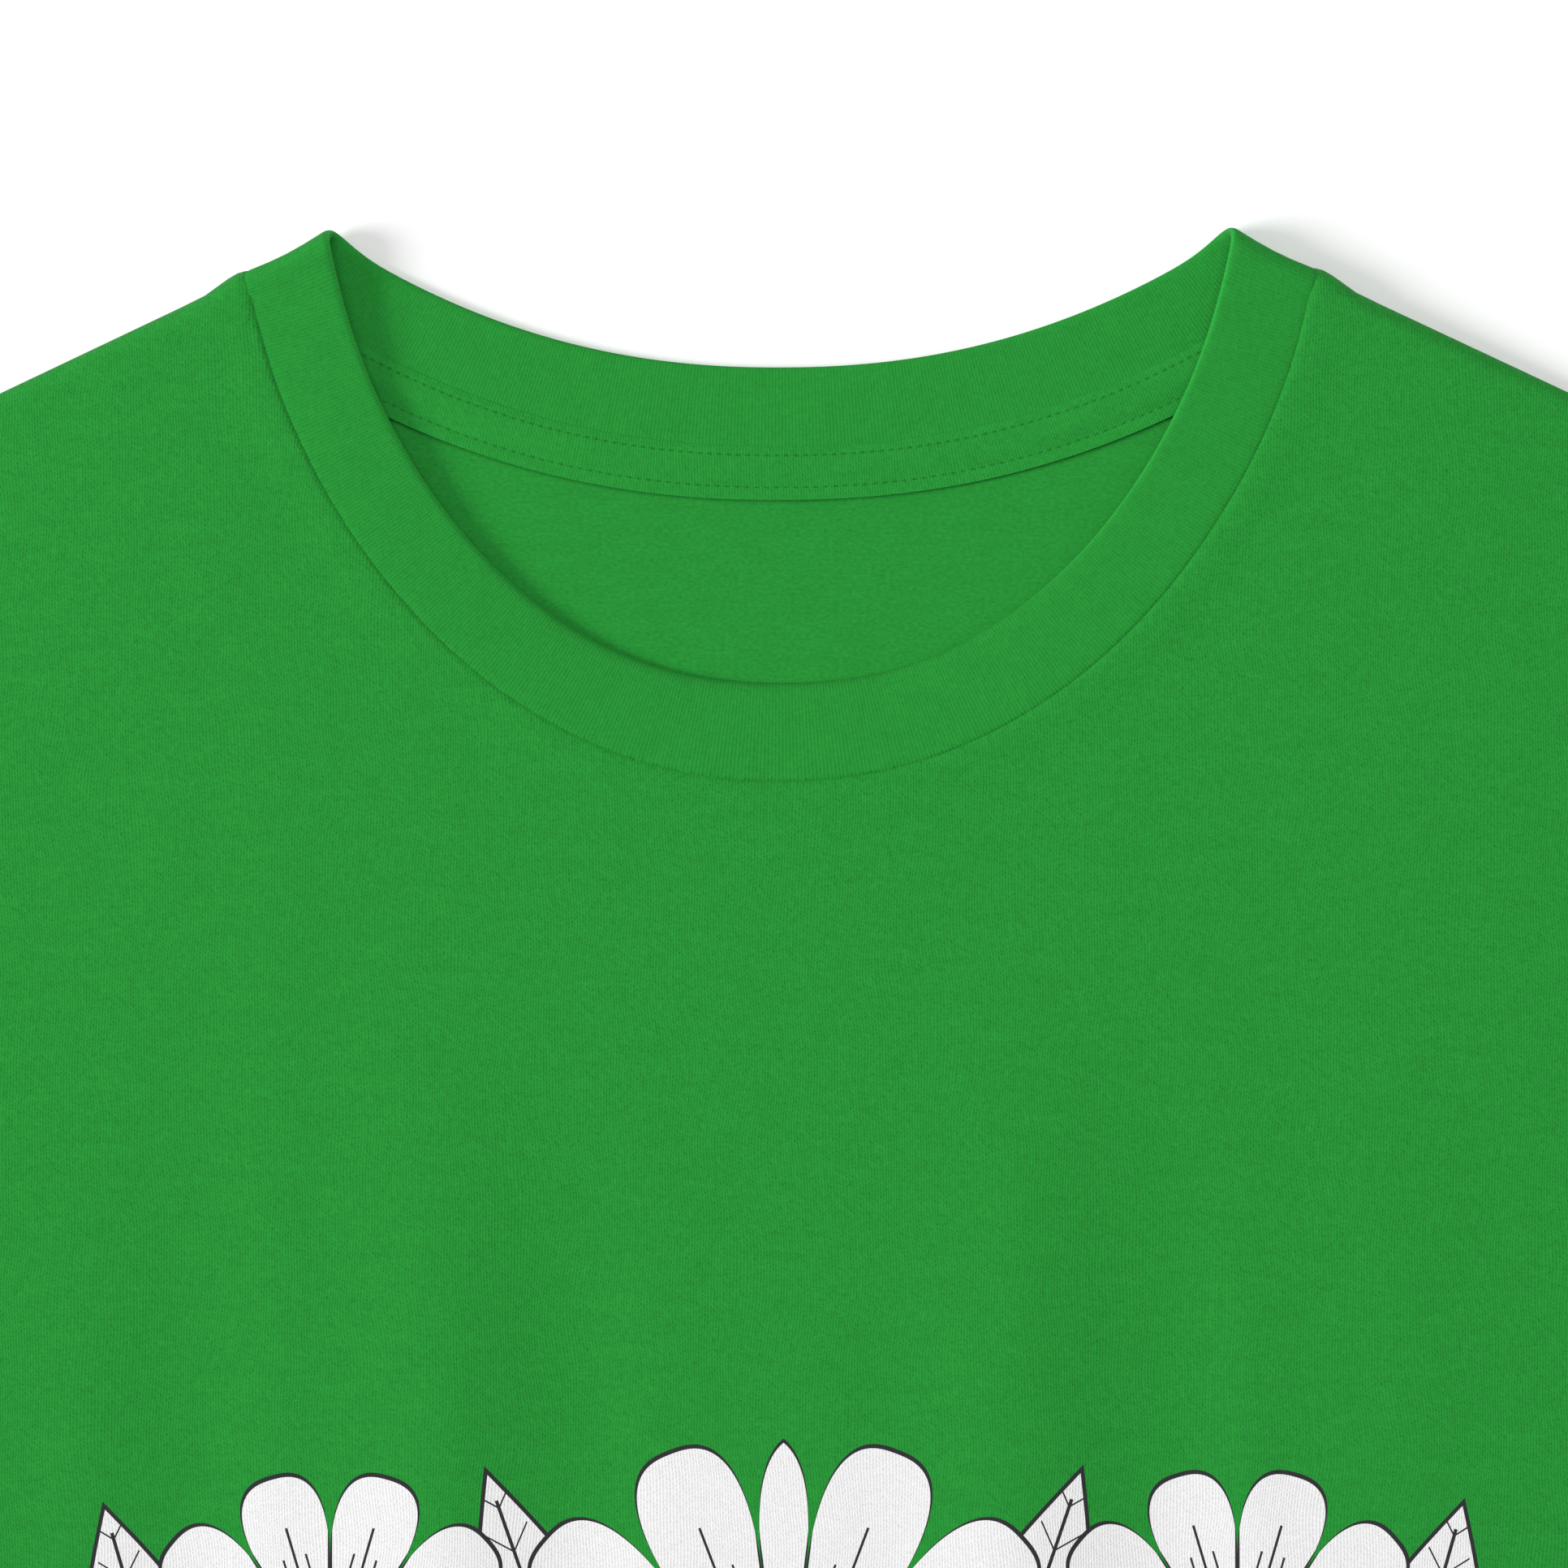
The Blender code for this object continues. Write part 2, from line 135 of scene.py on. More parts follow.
def nearest_on(points: Array, line: Array) -> tuple[Array, Array]:
    """How far points of a plan lie from a line.

    Args:
        points: Points, with x and y on the last axis.
        line: The line's own points in order.

    Returns:
        The distances, and how far along the line the nearest place is, as a share.
    """
    starts, runs = line[:-1], np.diff(line, axis=0)
    offset = points[..., None, :] - starts
    share = np.clip((offset * runs).sum(-1) / (runs**2).sum(-1), 0.0, 1.0)
    gaps = np.linalg.norm(offset - share[..., None] * runs, axis=-1)
    best = gaps.argmin(-1)
    at = np.take_along_axis(share, best[..., None], -1)[..., 0]
    return gaps.min(-1), (best + at) / len(starts)


def from_ends(line: Array, ends: Array) -> Array:
    """How far each point of a line lies from the nearer one of two ends."""
    return np.minimum(*(np.linalg.norm(line - ends[side], axis=1) for side in (0, -1)))


def mirrored(points: Array) -> Array:
    """The points, those at -x turned over to +x."""
    return pair(np.abs(points[..., 0]), points[..., 1])


def with_height(points: Array, height: Any) -> Array:
    """Plan points with their height."""
    return np.concatenate((points, np.broadcast_to(height, points.shape[:-1])[..., None]), -1)


# The cut


class Side(Enum):
    """A side of the body, as the sign of its x. The wearer's left lies at +x."""

    LEFT = 1.0
    RIGHT = -1.0


@dataclass(frozen=True)
class FrontLine:
    """A line round the front neck, part of a super-ellipse."""

    half_width: float
    depth: float
    top: float
    power_x: float
    power_y: float
    tip_y: float

    def points(self, share: Any) -> Array:
        """Points of the line.

        Args:
            share: Places from -1 at one neck point over 0 to 1 at the other.

        Returns:
            Points of the plan.
        """
        last = math.acos(((self.top - self.tip_y) / self.depth) ** (self.power_y / 2))
        angle = np.asarray(share, float) * last
        x = self.half_width * np.sign(angle) * np.abs(np.sin(angle)) ** (2 / self.power_x)
        return pair(x, self.top - self.depth * np.cos(angle) ** (2 / self.power_y))


@dataclass(frozen=True)
class BackLine:
    """A line round the back neck, whose y rises as a power of x."""

    centre: float
    rise: float
    half_width: float
    power: float

    def points(self, share: Any) -> Array:
        """Points of the line, for shares from -1 at one neck point over 0 to 1 at the other."""
        share = np.asarray(share, float)
        return pair(self.half_width * share, self.centre + self.rise * np.abs(share) ** self.power)


@dataclass(frozen=True)
class Cut:
    """The outlines that the panels share, those of one side at +x."""

    body_length: float = 0.760
    body_half_width: float = 0.280
    shoulder_half_width: float = 0.262
    shoulder_slope: float = math.radians(25.2)
    neck_x: float = 0.1013
    neck_y: float = -0.0088
    underarm_y: float = -0.321
    armhole_scoop: float = 0.020
    armhole_lean: float = 1.2
    sleeve_length: float = 0.600
    sleeve_slope: float = math.radians(47.0)
    shoulder_turn: float = 0.100
    wrist_width: float = 0.100
    wrist_lean: float = math.radians(43.0)
    under_sleeve_bow: float = 0.008
    hem_depth: float = 0.025
    collar_overlap: float = 0.004
    samples: int = 121
    free_edge: FrontLine = FrontLine(0.0853, 0.0887, 0.0030, 2.2, 1.6, -0.0010)
    neck_seam: FrontLine = FrontLine(0.1013, 0.1014, -0.0030, 2.1, 1.6, -0.0092)
    back_free_edge: BackLine = BackLine(-0.0257, 0.0247, 0.0850, 2.2)
    back_neck_seam: BackLine = BackLine(-0.0447, 0.0355, 0.1007, 2.24)

    @property
    def neck_tip(self) -> Array:
        """Where the shoulder seam meets the collar."""
        return np.array((self.neck_x, self.neck_y))

    @property
    def shoulder_tip(self) -> Array:
        """Where the shoulder seam meets the armhole."""
        drop = (self.shoulder_half_width - self.neck_x) * math.tan(self.shoulder_slope)
        return np.array((self.shoulder_half_width, self.neck_y - drop))

    @property
    def underarm(self) -> Array:
        """The lower end of the armhole."""
        return np.array((self.body_half_width, self.underarm_y))

    @property
    def hem_corner(self) -> Array:
        """The lower end of the side."""
        return np.array((self.body_half_width, -self.body_length))

    def armhole(self, share: Any) -> Array:
        """The armhole from the shoulder tip (0) to the underarm (1).

        Args:
            share: Places from 0 to 1.

        Returns:
            Points of the plan.
        """
        share = np.asarray(share, float)[:, None]
        chord = self.shoulder_tip + share * (self.underarm - self.shoulder_tip)
        scoop = self.armhole_scoop * np.sin(math.pi * share**self.armhole_lean)
        return chord - scoop * np.array((1.0, 0.0))

    def sleeve_top(self, share: Any) -> Array:
        """The sleeve's upper fold from the shoulder tip (0) to the wrist (1).

        Args:
            share: Places from 0 to 1.

        Returns:
            Points of the plan.
        """
        run = np.linspace(0.0, self.sleeve_length, 2 * self.samples)
        turned = (self.sleeve_slope - self.shoulder_slope) * ramp(run, 0.0, self.shoulder_turn)
        slope = self.shoulder_slope + (turned[1:] + turned[:-1]) / 2
        steps = np.diff(run)[:, None] * pair(np.cos(slope), -np.sin(slope))
        line = self.shoulder_tip + np.vstack(((0.0, 0.0), np.cumsum(steps, axis=0)))
        return along(line, np.asarray(share, float) * self.sleeve_length)

    def sleeve_bottom(self, share: Any) -> Array:
        """The sleeve's lower fold from the underarm (0) to the wrist (1).

        Args:
            share: Places from 0 to 1.

        Returns:
            Points of the plan.
        """
        share = np.asarray(share, float)[:, None]
        across = np.array((-math.sin(self.wrist_lean), -math.cos(self.wrist_lean)))
        run = self.sleeve_top([1.0])[0] + self.wrist_width * across - self.underarm
        outward = np.array((run[1], -run[0])) / np.linalg.norm(run)
        return self.underarm + share * run + outward * self.under_sleeve_bow * np.sin(math.pi * share)

    def side_line(self) -> Array:
        """The body's edge from the shoulder tip down the armhole and the side to the hem."""
        return np.vstack((self.armhole(np.linspace(0.0, 1.0, self.samples)), self.hem_corner))

    def folded_edges(self) -> tuple[Array, Array]:
        """The upper and the lower line where the front and back layers join.

        Returns:
            The points of the two lines.
        """
        share = np.linspace(0.0, 1.0, 31)
        inward = np.array((-math.cos(self.shoulder_slope), math.sin(self.shoulder_slope)))
        upper = np.vstack((self.neck_tip + self.collar_overlap * inward, self.sleeve_top(share)))
        return upper, np.vstack((self.hem_corner, self.sleeve_bottom(share)))


# How the upper layer lies


@dataclass(frozen=True)
class Fold:
    """A soft ridge, or a trough where its height is below zero, along a bent line."""

    x0: float
    y0: float
    x1: float
    y1: float
    half_width: float
    height: float
    bend: float

    FADE: ClassVar[float] = 0.32

    def rise(self, points: Array) -> Array:
        """How much the fold lifts each point of the plan.

        Args:
            points: Points of the plan.

        Returns:
            The extra height of each point.
        """
        start, end = np.array((self.x0, self.y0)), np.array((self.x1, self.y1))
        share = np.linspace(0.0, 1.0, 9)[:, None]
        across = np.array((self.y0 - self.y1, self.x1 - self.x0)) / np.linalg.norm(end - start)
        line = start + share * (end - start) + self.bend * np.sin(math.pi * share) * across
        gap, at = nearest_on(points, line)
        fade = ramp(at, 0.0, self.FADE) * (1.0 - ramp(at, 1.0 - self.FADE, 1.0))
        return self.height * fade * bump(gap, self.half_width)


# Every row holds a fold's fields in order, in millimetres.
CHEST_FOLDS = (
    (-136, -150, -128, -470, 12, 0.9, 3),
    (-116, -140, -108, -450, 13, -0.8, -2),
    (-66, -120, -70, -410, 15, 1.3, 2),
    (-40, -130, -42, -430, 15, -1.0, 2),
    (44, -110, 48, -440, 16, 1.5, -2),
    (71, -120, 78, -460, 18, -1.1, -3),
    (-30, -100, -27, -330, 6, 0.25, 2),
    (-92, -60, -96, -300, 8, 0.30, -2),
    (8, -130, 4, -340, 7, 0.22, 3),
    (83, -140, 92, -400, 6, 0.30, 2),
    (118, -90, 124, -330, 9, 0.28, -3),
    (-150, -80, -158, -300, 10, 0.30, 2),
    (107.5, -13, 80, -68, 2.8, 0.4, 3),
    (115, -13, 88, -70, 4.0, -0.4, 3),
)
HEM_FOLDS = (
    (-200, -480, -176, -748, 20, 1.2, 6),
    (-40, -520, -52, -752, 26, 1.1, -5),
    (168, -470, 150, -745, 22, 1.0, 6),
    (-120, -560, -130, -735, 14, -0.6, 3),
    (62, -540, 50, -730, 16, -0.7, -4),
    (236, -520, 226, -720, 12, 0.5, 2),
)
UNDERARM_FOLDS = (
    (262, -322, 190, -262, 12, 1.5, 5),
    (258, -345, 176, -330, 11, 1.2, -4),
    (262, -372, 214, -388, 8, 0.6, 3),
    (232, -282, 196, -214, 7, -0.6, 4),
    (-260, -320, -184, -252, 12, 1.4, -5),
    (-258, -350, -186, -348, 12, 1.1, 4),
    (-262, -384, -222, -412, 8, 0.5, 2),
    (-236, -276, -206, -208, 7, -0.6, -3),
)
SLEEVE_FOLDS = (
    (300, -320, 336, -236, 12, 1.4, 6),
    (352, -352, 392, -296, 12, 1.1, -4),
    (440, -408, 486, -352, 12, 1.5, 5),
    (470, -446, 528, -392, 11, -0.9, -3),
    (508, -470, 560, -428, 10, 1.2, 4),
    (320, -300, 356, -246, 7, -0.6, 3),
    (402, -330, 428, -300, 7, 0.6, 2),
    (454, -352, 500, -372, 6, 0.5, 3),
    (560, -500, 592, -470, 7, 0.5, 2),
    (-302, -316, -342, -228, 12, 1.5, -6),
    (-372, -360, -400, -300, 11, 1.1, 4),
    (-448, -420, -500, -350, 13, 1.4, -5),
    (-486, -450, -536, -404, 10, -0.9, 3),
    (-534, -486, -586, -446, 11, 1.2, -4),
    (-326, -304, -352, -240, 7, -0.6, -3),
    (-412, -346, -440, -312, 7, 0.6, 2),
    (-470, -380, -514, -392, 6, 0.5, -3),
    (-570, -508, -602, -474, 7, 0.5, -2),
)
FOLDS = tuple(
    Fold(*(value * MILLIMETRE for value in row))
    for row in (*CHEST_FOLDS, *HEM_FOLDS, *UNDERARM_FOLDS, *SLEEVE_FOLDS)
)


@dataclass(frozen=True)
class Drape:
    """Heights of the middle of each layer of cloth above the surface."""

    cut: Cut
    folds: tuple[Fold, ...] = FOLDS
    cloth: float = 0.0010
    level: float = 0.0034
    lower: float = 0.0005
    edge_round: float = 0.0026
    neck_rise_spread: float = 0.058
    seam_z: tuple[float, float, float] = (0.0033, 0.0074, 3.0)
    free_z: tuple[float, float, float] = (0.0020, 0.0088, 2.2)
    allowance_lift: float = 0.0004
    allowance_width: float = 0.0060
    seam_dip: float = 0.0001
    seam_dip_width: float = 0.0005
    armhole_dip: float = 0.0007
    armhole_dip_width: float = 0.0016
    hem_lift: float = 0.0005
    hem_fade: float = 0.012
    hem_edge_lift: float = 0.00022
    stitch_dip: float = 0.00028
    stitch_dip_width: float = 0.0010

    def neck_level(self, levels: tuple[float, float, float], share: Array) -> Array:
        """Height of a front collar line, from its low and high level and the power of its rise."""
        low, high, power = levels
        return low + (high - low) * np.abs(share) ** power

    def ripple(self, points: Array) -> Array:
        """Faint unevenness of cloth that was smoothed out by hand.

        Args:
            points: Points of the plan.

        Returns:
            The extra height of each point.
        """
        x, y = points[..., 0], points[..., 1]
        slow = np.sin(57.0 * x + 1.9 * np.sin(31.0 * y)) * np.sin(43.0 * y + 1.3 * np.sin(37.0 * x + 0.7))
        quick = np.sin(131.0 * x + 2.3 * np.sin(71.0 * y + 0.4)) * np.sin(97.0 * y + 1.7 * np.sin(83.0 * x))
        return 0.00016 * slow + 0.00006 * quick

    def upper(self, points: Array, edge_z: float) -> Array:
        """Height of the upper layer's middle.

        Args:
            points: Points of the plan.
            edge_z: The height to which the layer rounds down at its folded edges.

        Returns:
            The height of each point.
        """
        near_side = mirrored(points)
        from_neck, at = nearest_on(near_side, self.cut.neck_seam.points(np.linspace(0.0, 1.0, 97)))
        level = self.level + self.ripple(points) + sum(fold.rise(points) for fold in self.folds)
        level = level + (self.neck_level(self.seam_z, at) - level) * bump(from_neck, self.neck_rise_spread)
        flat_share = 1.0 - ramp(from_neck, self.allowance_width / 2, self.allowance_width * 1.5)
        level = level + self.allowance_lift * flat_share
        level = level - self.seam_dip * bump(from_neck, self.seam_dip_width)
        from_armhole, _ = nearest_on(near_side, self.cut.armhole(np.linspace(0.0, 1.0, 49)))
        level = level - self.armhole_dip * bump(from_armhole, self.armhole_dip_width)
        from_edge = np.minimum(*(nearest_on(near_side, edge)[0] for edge in self.cut.folded_edges()))
        return edge_z + (level - edge_z) * round_off(from_edge / self.edge_round)

    def hem_relief(self, distance: Array, rows: Sequence[float]) -> Array:
        """Extra height of a turned hem: its doubled cloth, less its rows of stitches.

        Args:
            distance: How far each point lies from the folded hem edge.
            rows: How far the rows of stitches lie from it.

        Returns:
            The extra height of each point.
        """
        depth = self.cut.hem_depth
        lift = self.hem_lift * (1.0 - ramp(distance, depth, depth + self.hem_fade))
        lift = lift + self.hem_edge_lift * (1.0 - ramp(distance, depth - 0.001, depth + 0.0012))
        for row in rows:
            lift = lift - self.stitch_dip * bump(distance - row, self.stitch_dip_width)
        return lift


# Shader toolkit


def maths(operation: str, reflected: bool = False) -> Callable[..., "Amount"]:
    """A method of Amount that adds a Math node.

    Args:
        operation: What the node works out.
        reflected: Whether its two values change places.

    Returns:
        The method.
    """

    def method(amount: "Amount", *others: Any) -> "Amount":
        """This value worked out with the others."""
        return amount.math(operation, *((*others, amount) if reflected else (amount, *others)))

    return method


class Amount:
    """A value that varies over a surface. Python's operators on it add Math nodes."""

    def __init__(self, recipe: "Recipe", socket: bpy.types.NodeSocket) -> None:
        """Wraps a socket of a recipe's node tree."""
        self.recipe = recipe
        self.socket = socket

    def math(self, operation: str, *operands: Any) -> "Amount":
        """The result of a Math node with these operands."""
        return self.recipe.amount("ShaderNodeMath", {"operation": operation}, dict(enumerate(operands)))

    __add__ = __radd__ = maths("ADD")
    __sub__ = maths("SUBTRACT")
    __rsub__ = maths("SUBTRACT", reflected=True)
    __mul__ = __rmul__ = maths("MULTIPLY")
    __truediv__ = maths("DIVIDE")
    __rtruediv__ = maths("DIVIDE", reflected=True)
    __pow__ = maths("POWER")
    __abs__ = maths("ABSOLUTE")
    __mod__ = maths("FLOORED_MODULO")
    below = maths("LESS_THAN")
    above = maths("GREATER_THAN")
    or_more = maths("MAXIMUM")
    or_less = maths("MINIMUM")
    root = maths("SQRT")
    cosine = maths("COSINE")

    def wave(self, pitch: float) -> "Amount":
        """1 at each whole pitch and 0 halfway between."""
        return (self * (2 * math.pi / pitch)).cosine() * 0.5 + 0.5

    def rise(self, start: float, end: float) -> "Amount":
        """Smooth rise from 0 at start to 1 at end, level on both sides."""
        values = {0: self, 1: start, 2: end, 3: 0.0, 4: 1.0}
        return self.recipe.amount("ShaderNodeMapRange", {"interpolation_type": "SMOOTHSTEP"}, values)


class Recipe:
    """A material in the making: its node tree, and the Principled shader that it feeds."""

    MIX_FACTOR, MIX_FIRST, MIX_SECOND, MIX_RESULT = 0, 6, 7, 2

    def __init__(self, name: str) -> None:
        """Starts a material.

        Args:
            name: The material's name.
        """
        self.material = bpy.data.materials.new(name)
        self.material.use_nodes = True
        self.tree = self.material.node_tree
        self.shader = self.tree.nodes["Principled BSDF"]

    def feed(self, sockets: Any, values: dict[Any, Any]) -> None:
        """Gives sockets their constants or links.

        Args:
            sockets: The sockets of a node.
            values: What each named or numbered socket gets.
        """
        for key, value in values.items():
            value = value.socket if isinstance(value, Amount) else value
            if isinstance(value, bpy.types.NodeSocket):
                self.tree.links.new(value, sockets[key])
            else:
                sockets[key].default_value = value

    def node(self, kind: str, settings: dict[str, Any], inputs: dict[Any, Any]) -> bpy.types.Node:
        """Adds a node.

        Args:
            kind: The node's type.
            settings: Its own settings, which are made first.
            inputs: A constant or a link for each named or numbered socket.

        Returns:
            The node.
        """
        node = self.tree.nodes.new(kind)
        for key, value in settings.items():
            setattr(node, key, value)
        self.feed(node.inputs, inputs)
        return node

    def amount(self, kind: str, settings: dict[str, Any], inputs: dict[Any, Any]) -> Amount:
        """The first output of a new node."""
        return Amount(self, self.node(kind, settings, inputs).outputs[0])

    def split(self, vector: bpy.types.NodeSocket) -> tuple[Amount, Amount]:
        """The x and the y of a vector."""
        parts = self.node("ShaderNodeSeparateXYZ", {}, {0: vector})
        return Amount(self, parts.outputs[0]), Amount(self, parts.outputs[1])

    def cloth_place(self) -> tuple[Amount, Amount]:
        """Where a point lies on its piece of cloth, across and along it, in metres."""
        return self.split(self.node("ShaderNodeUVMap", {"uv_map": CLOTH_MAP}, {}).outputs[0])

    def noise(self, across: Amount, up: Amount, size: tuple[float, float], detail: float = 1.0) -> Amount:
        """Cloudy noise around 0.5.

        Args:
            across: Place across the cloth.
            up: Place along it.
            size: Width and length of one cloud.
            detail: How much finer noise is added.

        Returns:
            The noise, mostly from 0.3 to 0.7.
        """
        place = {0: across / size[0], 1: up / size[1], 2: size[0] / MILLIMETRE}
        vector = self.node("ShaderNodeCombineXYZ", {}, place).outputs[0]
        return self.amount("ShaderNodeTexNoise", {}, {"Vector": vector, "Scale": 1.0, "Detail": detail})

    def mix(self, share: Amount, first: Any, second: Any) -> bpy.types.NodeSocket:
        """A colour between two, for a share from 0 to 1."""
        inputs = {self.MIX_FACTOR: share, self.MIX_FIRST: first, self.MIX_SECOND: second}
        return self.node("ShaderNodeMix", {"data_type": "RGBA"}, inputs).outputs[self.MIX_RESULT]

    def shade(self, colour: Any, amount: Amount) -> bpy.types.NodeSocket:
        """A colour made lighter or darker."""
        inputs = {0: colour[:3] if isinstance(colour, tuple) else colour, "Scale": amount}
        return self.node("ShaderNodeVectorMath", {"operation": "SCALE"}, inputs).outputs[0]

    def finish(self, colour: Any, relief: Amount) -> bpy.types.Material:
        """Makes the material matt cotton.

        Args:
            colour: Its colour, constant or linked.
            relief: The height of its relief, in metres.

        Returns:
            The material.
        """
        inputs = {"Strength": 1.0, "Distance": 1.0, "Height": relief}
        normal = self.node("ShaderNodeBump", {}, inputs).outputs[0]
        self.feed(self.shader.inputs, {**MATT_COTTON, "Base Color": colour, "Normal": normal})
        return self.material


# The print


@dataclass(frozen=True)
class Daisy:
    """A round flower with pointed petals, seen from the front."""

    x: float
    y: float
    radius: float
    petals: int
    turn: float = 0.0

    def draw(self, x: Amount, y: Amount, line: float) -> tuple[Amount, Amount]:
        """Draws the flower.

        Args:
            x: Place across the cloth.
            y: Place along it.
            line: Width of an outline.

        Returns:
            Where the flower covers the cloth, and where its dark lines are.
        """
        across, up = x - self.x, y - self.y
        far = (across * across + up * up).root()
        angle = across.math("ARCTAN2", up, across) * (self.petals / (2 * math.pi)) + self.turn
        fold = abs(angle % 1.0 - 0.5)
        sector = 2 * math.pi / self.petals
        from_gap = (0.5 - fold) * sector * far
        from_spine = fold * sector * far
        edge = (1.0 - (fold * 2.0) ** 3.0).or_more(0.0).root() * (0.46 * self.radius) + 0.54 * self.radius
        inside = edge - far
        cover = inside.above(0.0)
        heart = 0.24 * self.radius
        lines = inside.below(line)
        lines = lines.or_more(from_gap.below(line * 0.5) * far.below(0.80 * self.radius))
        spine = from_spine.below(line * 0.3) * far.below(0.74 * self.radius) * far.above(0.50 * self.radius)
        side_spines = abs(from_spine - 0.055 * self.radius).below(line * 0.25)
        side_spines = side_spines * far.below(0.60 * self.radius) * far.above(0.34 * self.radius)
        lines = lines.or_more(spine).or_more(side_spines) * far.above(heart)
        ring = abs(far - heart).below(line * 0.7)
        seeds = (across.wave(heart / 4.0) * up.wave(heart / 4.0)).above(0.55) * far.below(heart * 0.86)
        return cover, lines.or_more(ring).or_more(seeds)


@dataclass(frozen=True)
class Leaf:
    """A pointed leaf with a middle rib and side veins."""

    x: float
    y: float
    length: float
    half_width: float
    lean: float

    def draw(self, x: Amount, y: Amount, line: float) -> tuple[Amount, Amount]:
        """Draws the leaf.

        Args:
            x: Place across the cloth.
            y: Place along it.
            line: Width of an outline.

        Returns:
            Where the leaf covers the cloth, and where its dark lines are.
        """
        angle = math.radians(self.lean)
        across, up = x - self.x, y - self.y
        share = (across * math.cos(angle) + up * math.sin(angle)) / self.length
        share = share.or_more(0.0).or_less(1.0)
        beside_rib = abs(up * math.cos(angle) - across * math.sin(angle))
        edge = share * (1.0 - share) * (1.35 - share * 0.7) * (4.0 * self.half_width)
        inside = edge - beside_rib
        lines = inside.below(line).or_more(beside_rib.below(line * 0.4) * share.below(0.90))
        veins = ((share * self.length - beside_rib * 1.1) % (self.length / 8.0)).below(line * 0.55)
        veins = veins * (beside_rib / edge.or_more(line)).below(0.72)
        return inside.above(0.0), lines.or_more(veins)


@dataclass(frozen=True)
class Stem:
    """A bent stalk, part of a circle."""

    x: float
    y: float
    radius: float
    half_width: float
    top: float
    bottom: float

    def draw(self, x: Amount, y: Amount, line: float) -> tuple[Amount, Amount]:
        """Draws the stalk.

        Args:
            x: Place across the cloth.
            y: Place along it.
            line: Width of an outline.

        Returns:
            Where the stalk covers the cloth, and where its dark lines are.
        """
        across, up = x - self.x, y - self.y
        beside_line = abs((across * across + up * up).root() - self.radius)
        cover = beside_line.below(self.half_width) * y.below(self.top) * y.above(self.bottom)
        return cover, (self.half_width - beside_line).below(line * 0.8)


@dataclass(frozen=True)
class Bouquet:
    """The print: a spray of three flowers, drawn with its right half folded onto its left."""

    line: float = 0.00085
    white: Colour = (0.80, 0.80, 0.80, 1.0)
    ink: Colour = (0.030, 0.031, 0.033, 1.0)
    motifs: tuple[Daisy | Leaf | Stem, ...] = (
        Stem(0.493, -0.554, 0.500, 0.0016, -0.300, -0.452),
        Leaf(0.034, -0.300, 0.070, 0.0125, 71.0),
        Leaf(0.070, -0.312, 0.060, 0.0120, -18.0),
        Leaf(0.112, -0.300, 0.062, 0.0125, 74.0),
        Leaf(0.104, -0.286, 0.050, 0.0110, 28.0),
        Leaf(0.030, -0.372, 0.062, 0.0125, 22.0),
        Leaf(0.016, -0.404, 0.066, 0.0125, -12.0),
        Leaf(0.006, -0.430, 0.056, 0.0110, -34.0),
        Leaf(0.020, -0.395, 0.036, 0.0080, 121.0),
        Daisy(0.086, -0.274, 0.040, 11, 0.25),
        Daisy(0.0, -0.288, 0.061, 13),
    )

    def paint(self, recipe: Recipe, x: Amount, y: Amount, colour: Any) -> tuple[Any, Amount]:
        """Lays the print over the cloth's colour.

        Args:
            recipe: The material of the cloth.
            x: Place across the cloth.
            y: Place along it.
            colour: The cloth's own colour.

        Returns:
            The colour with the print on it, and where the print covers the cloth.
        """
        near_side = abs(x)
        first, *others = self.motifs
        cover, lines = first.draw(near_side, y, self.line)
        dark = lines * cover
        for motif in others:
            shape, lines = motif.draw(near_side, y, self.line)
            dark = dark + (lines - dark) * shape
            cover = cover.or_more(shape)
        return recipe.mix(cover, colour, recipe.mix(dark, self.white, self.ink)), cover


# Finishes


class Face(Enum):
    """The two faces of jersey: columns of stitches outside, and rows of loops inside."""

    OUTSIDE = "outside"
    INSIDE = "inside"


@dataclass(frozen=True)
class NeedleRows:
    """Rows of needle holes, painted as dark spots for the shade in them, each drawn a little longer by its
    stitch.
    """

    rows: tuple[float, float]
    pitch: float
    start: float
    length: float = 0.0009
    width: float = 0.00042
    # how dark the painted shade in the holes is
    depth: float = 0.36

    def shade(self, along_row: Amount, across_row: Amount) -> Amount:
        """How much painted shade darkens the cloth at the holes.

        Args:
            along_row: Place along the rows.
            across_row: Place across them, downwards from the edge and below zero.

        Returns:
            The share of the cloth's colour that is lost.
        """
        # painted shade: dark spots along the rows of stitches, where the thread sinks into the tape
        from_hole = abs((along_row - self.start) % self.pitch - self.pitch / 2)
        beside_hole = 1.0 - from_hole.rise(self.length * 0.30, self.length * 0.62)
        first, second = (
            1.0 - abs(across_row + row).rise(self.width * 0.25, self.width * 0.75) for row in self.rows
        )
        return beside_hole * first.or_more(second) * self.depth


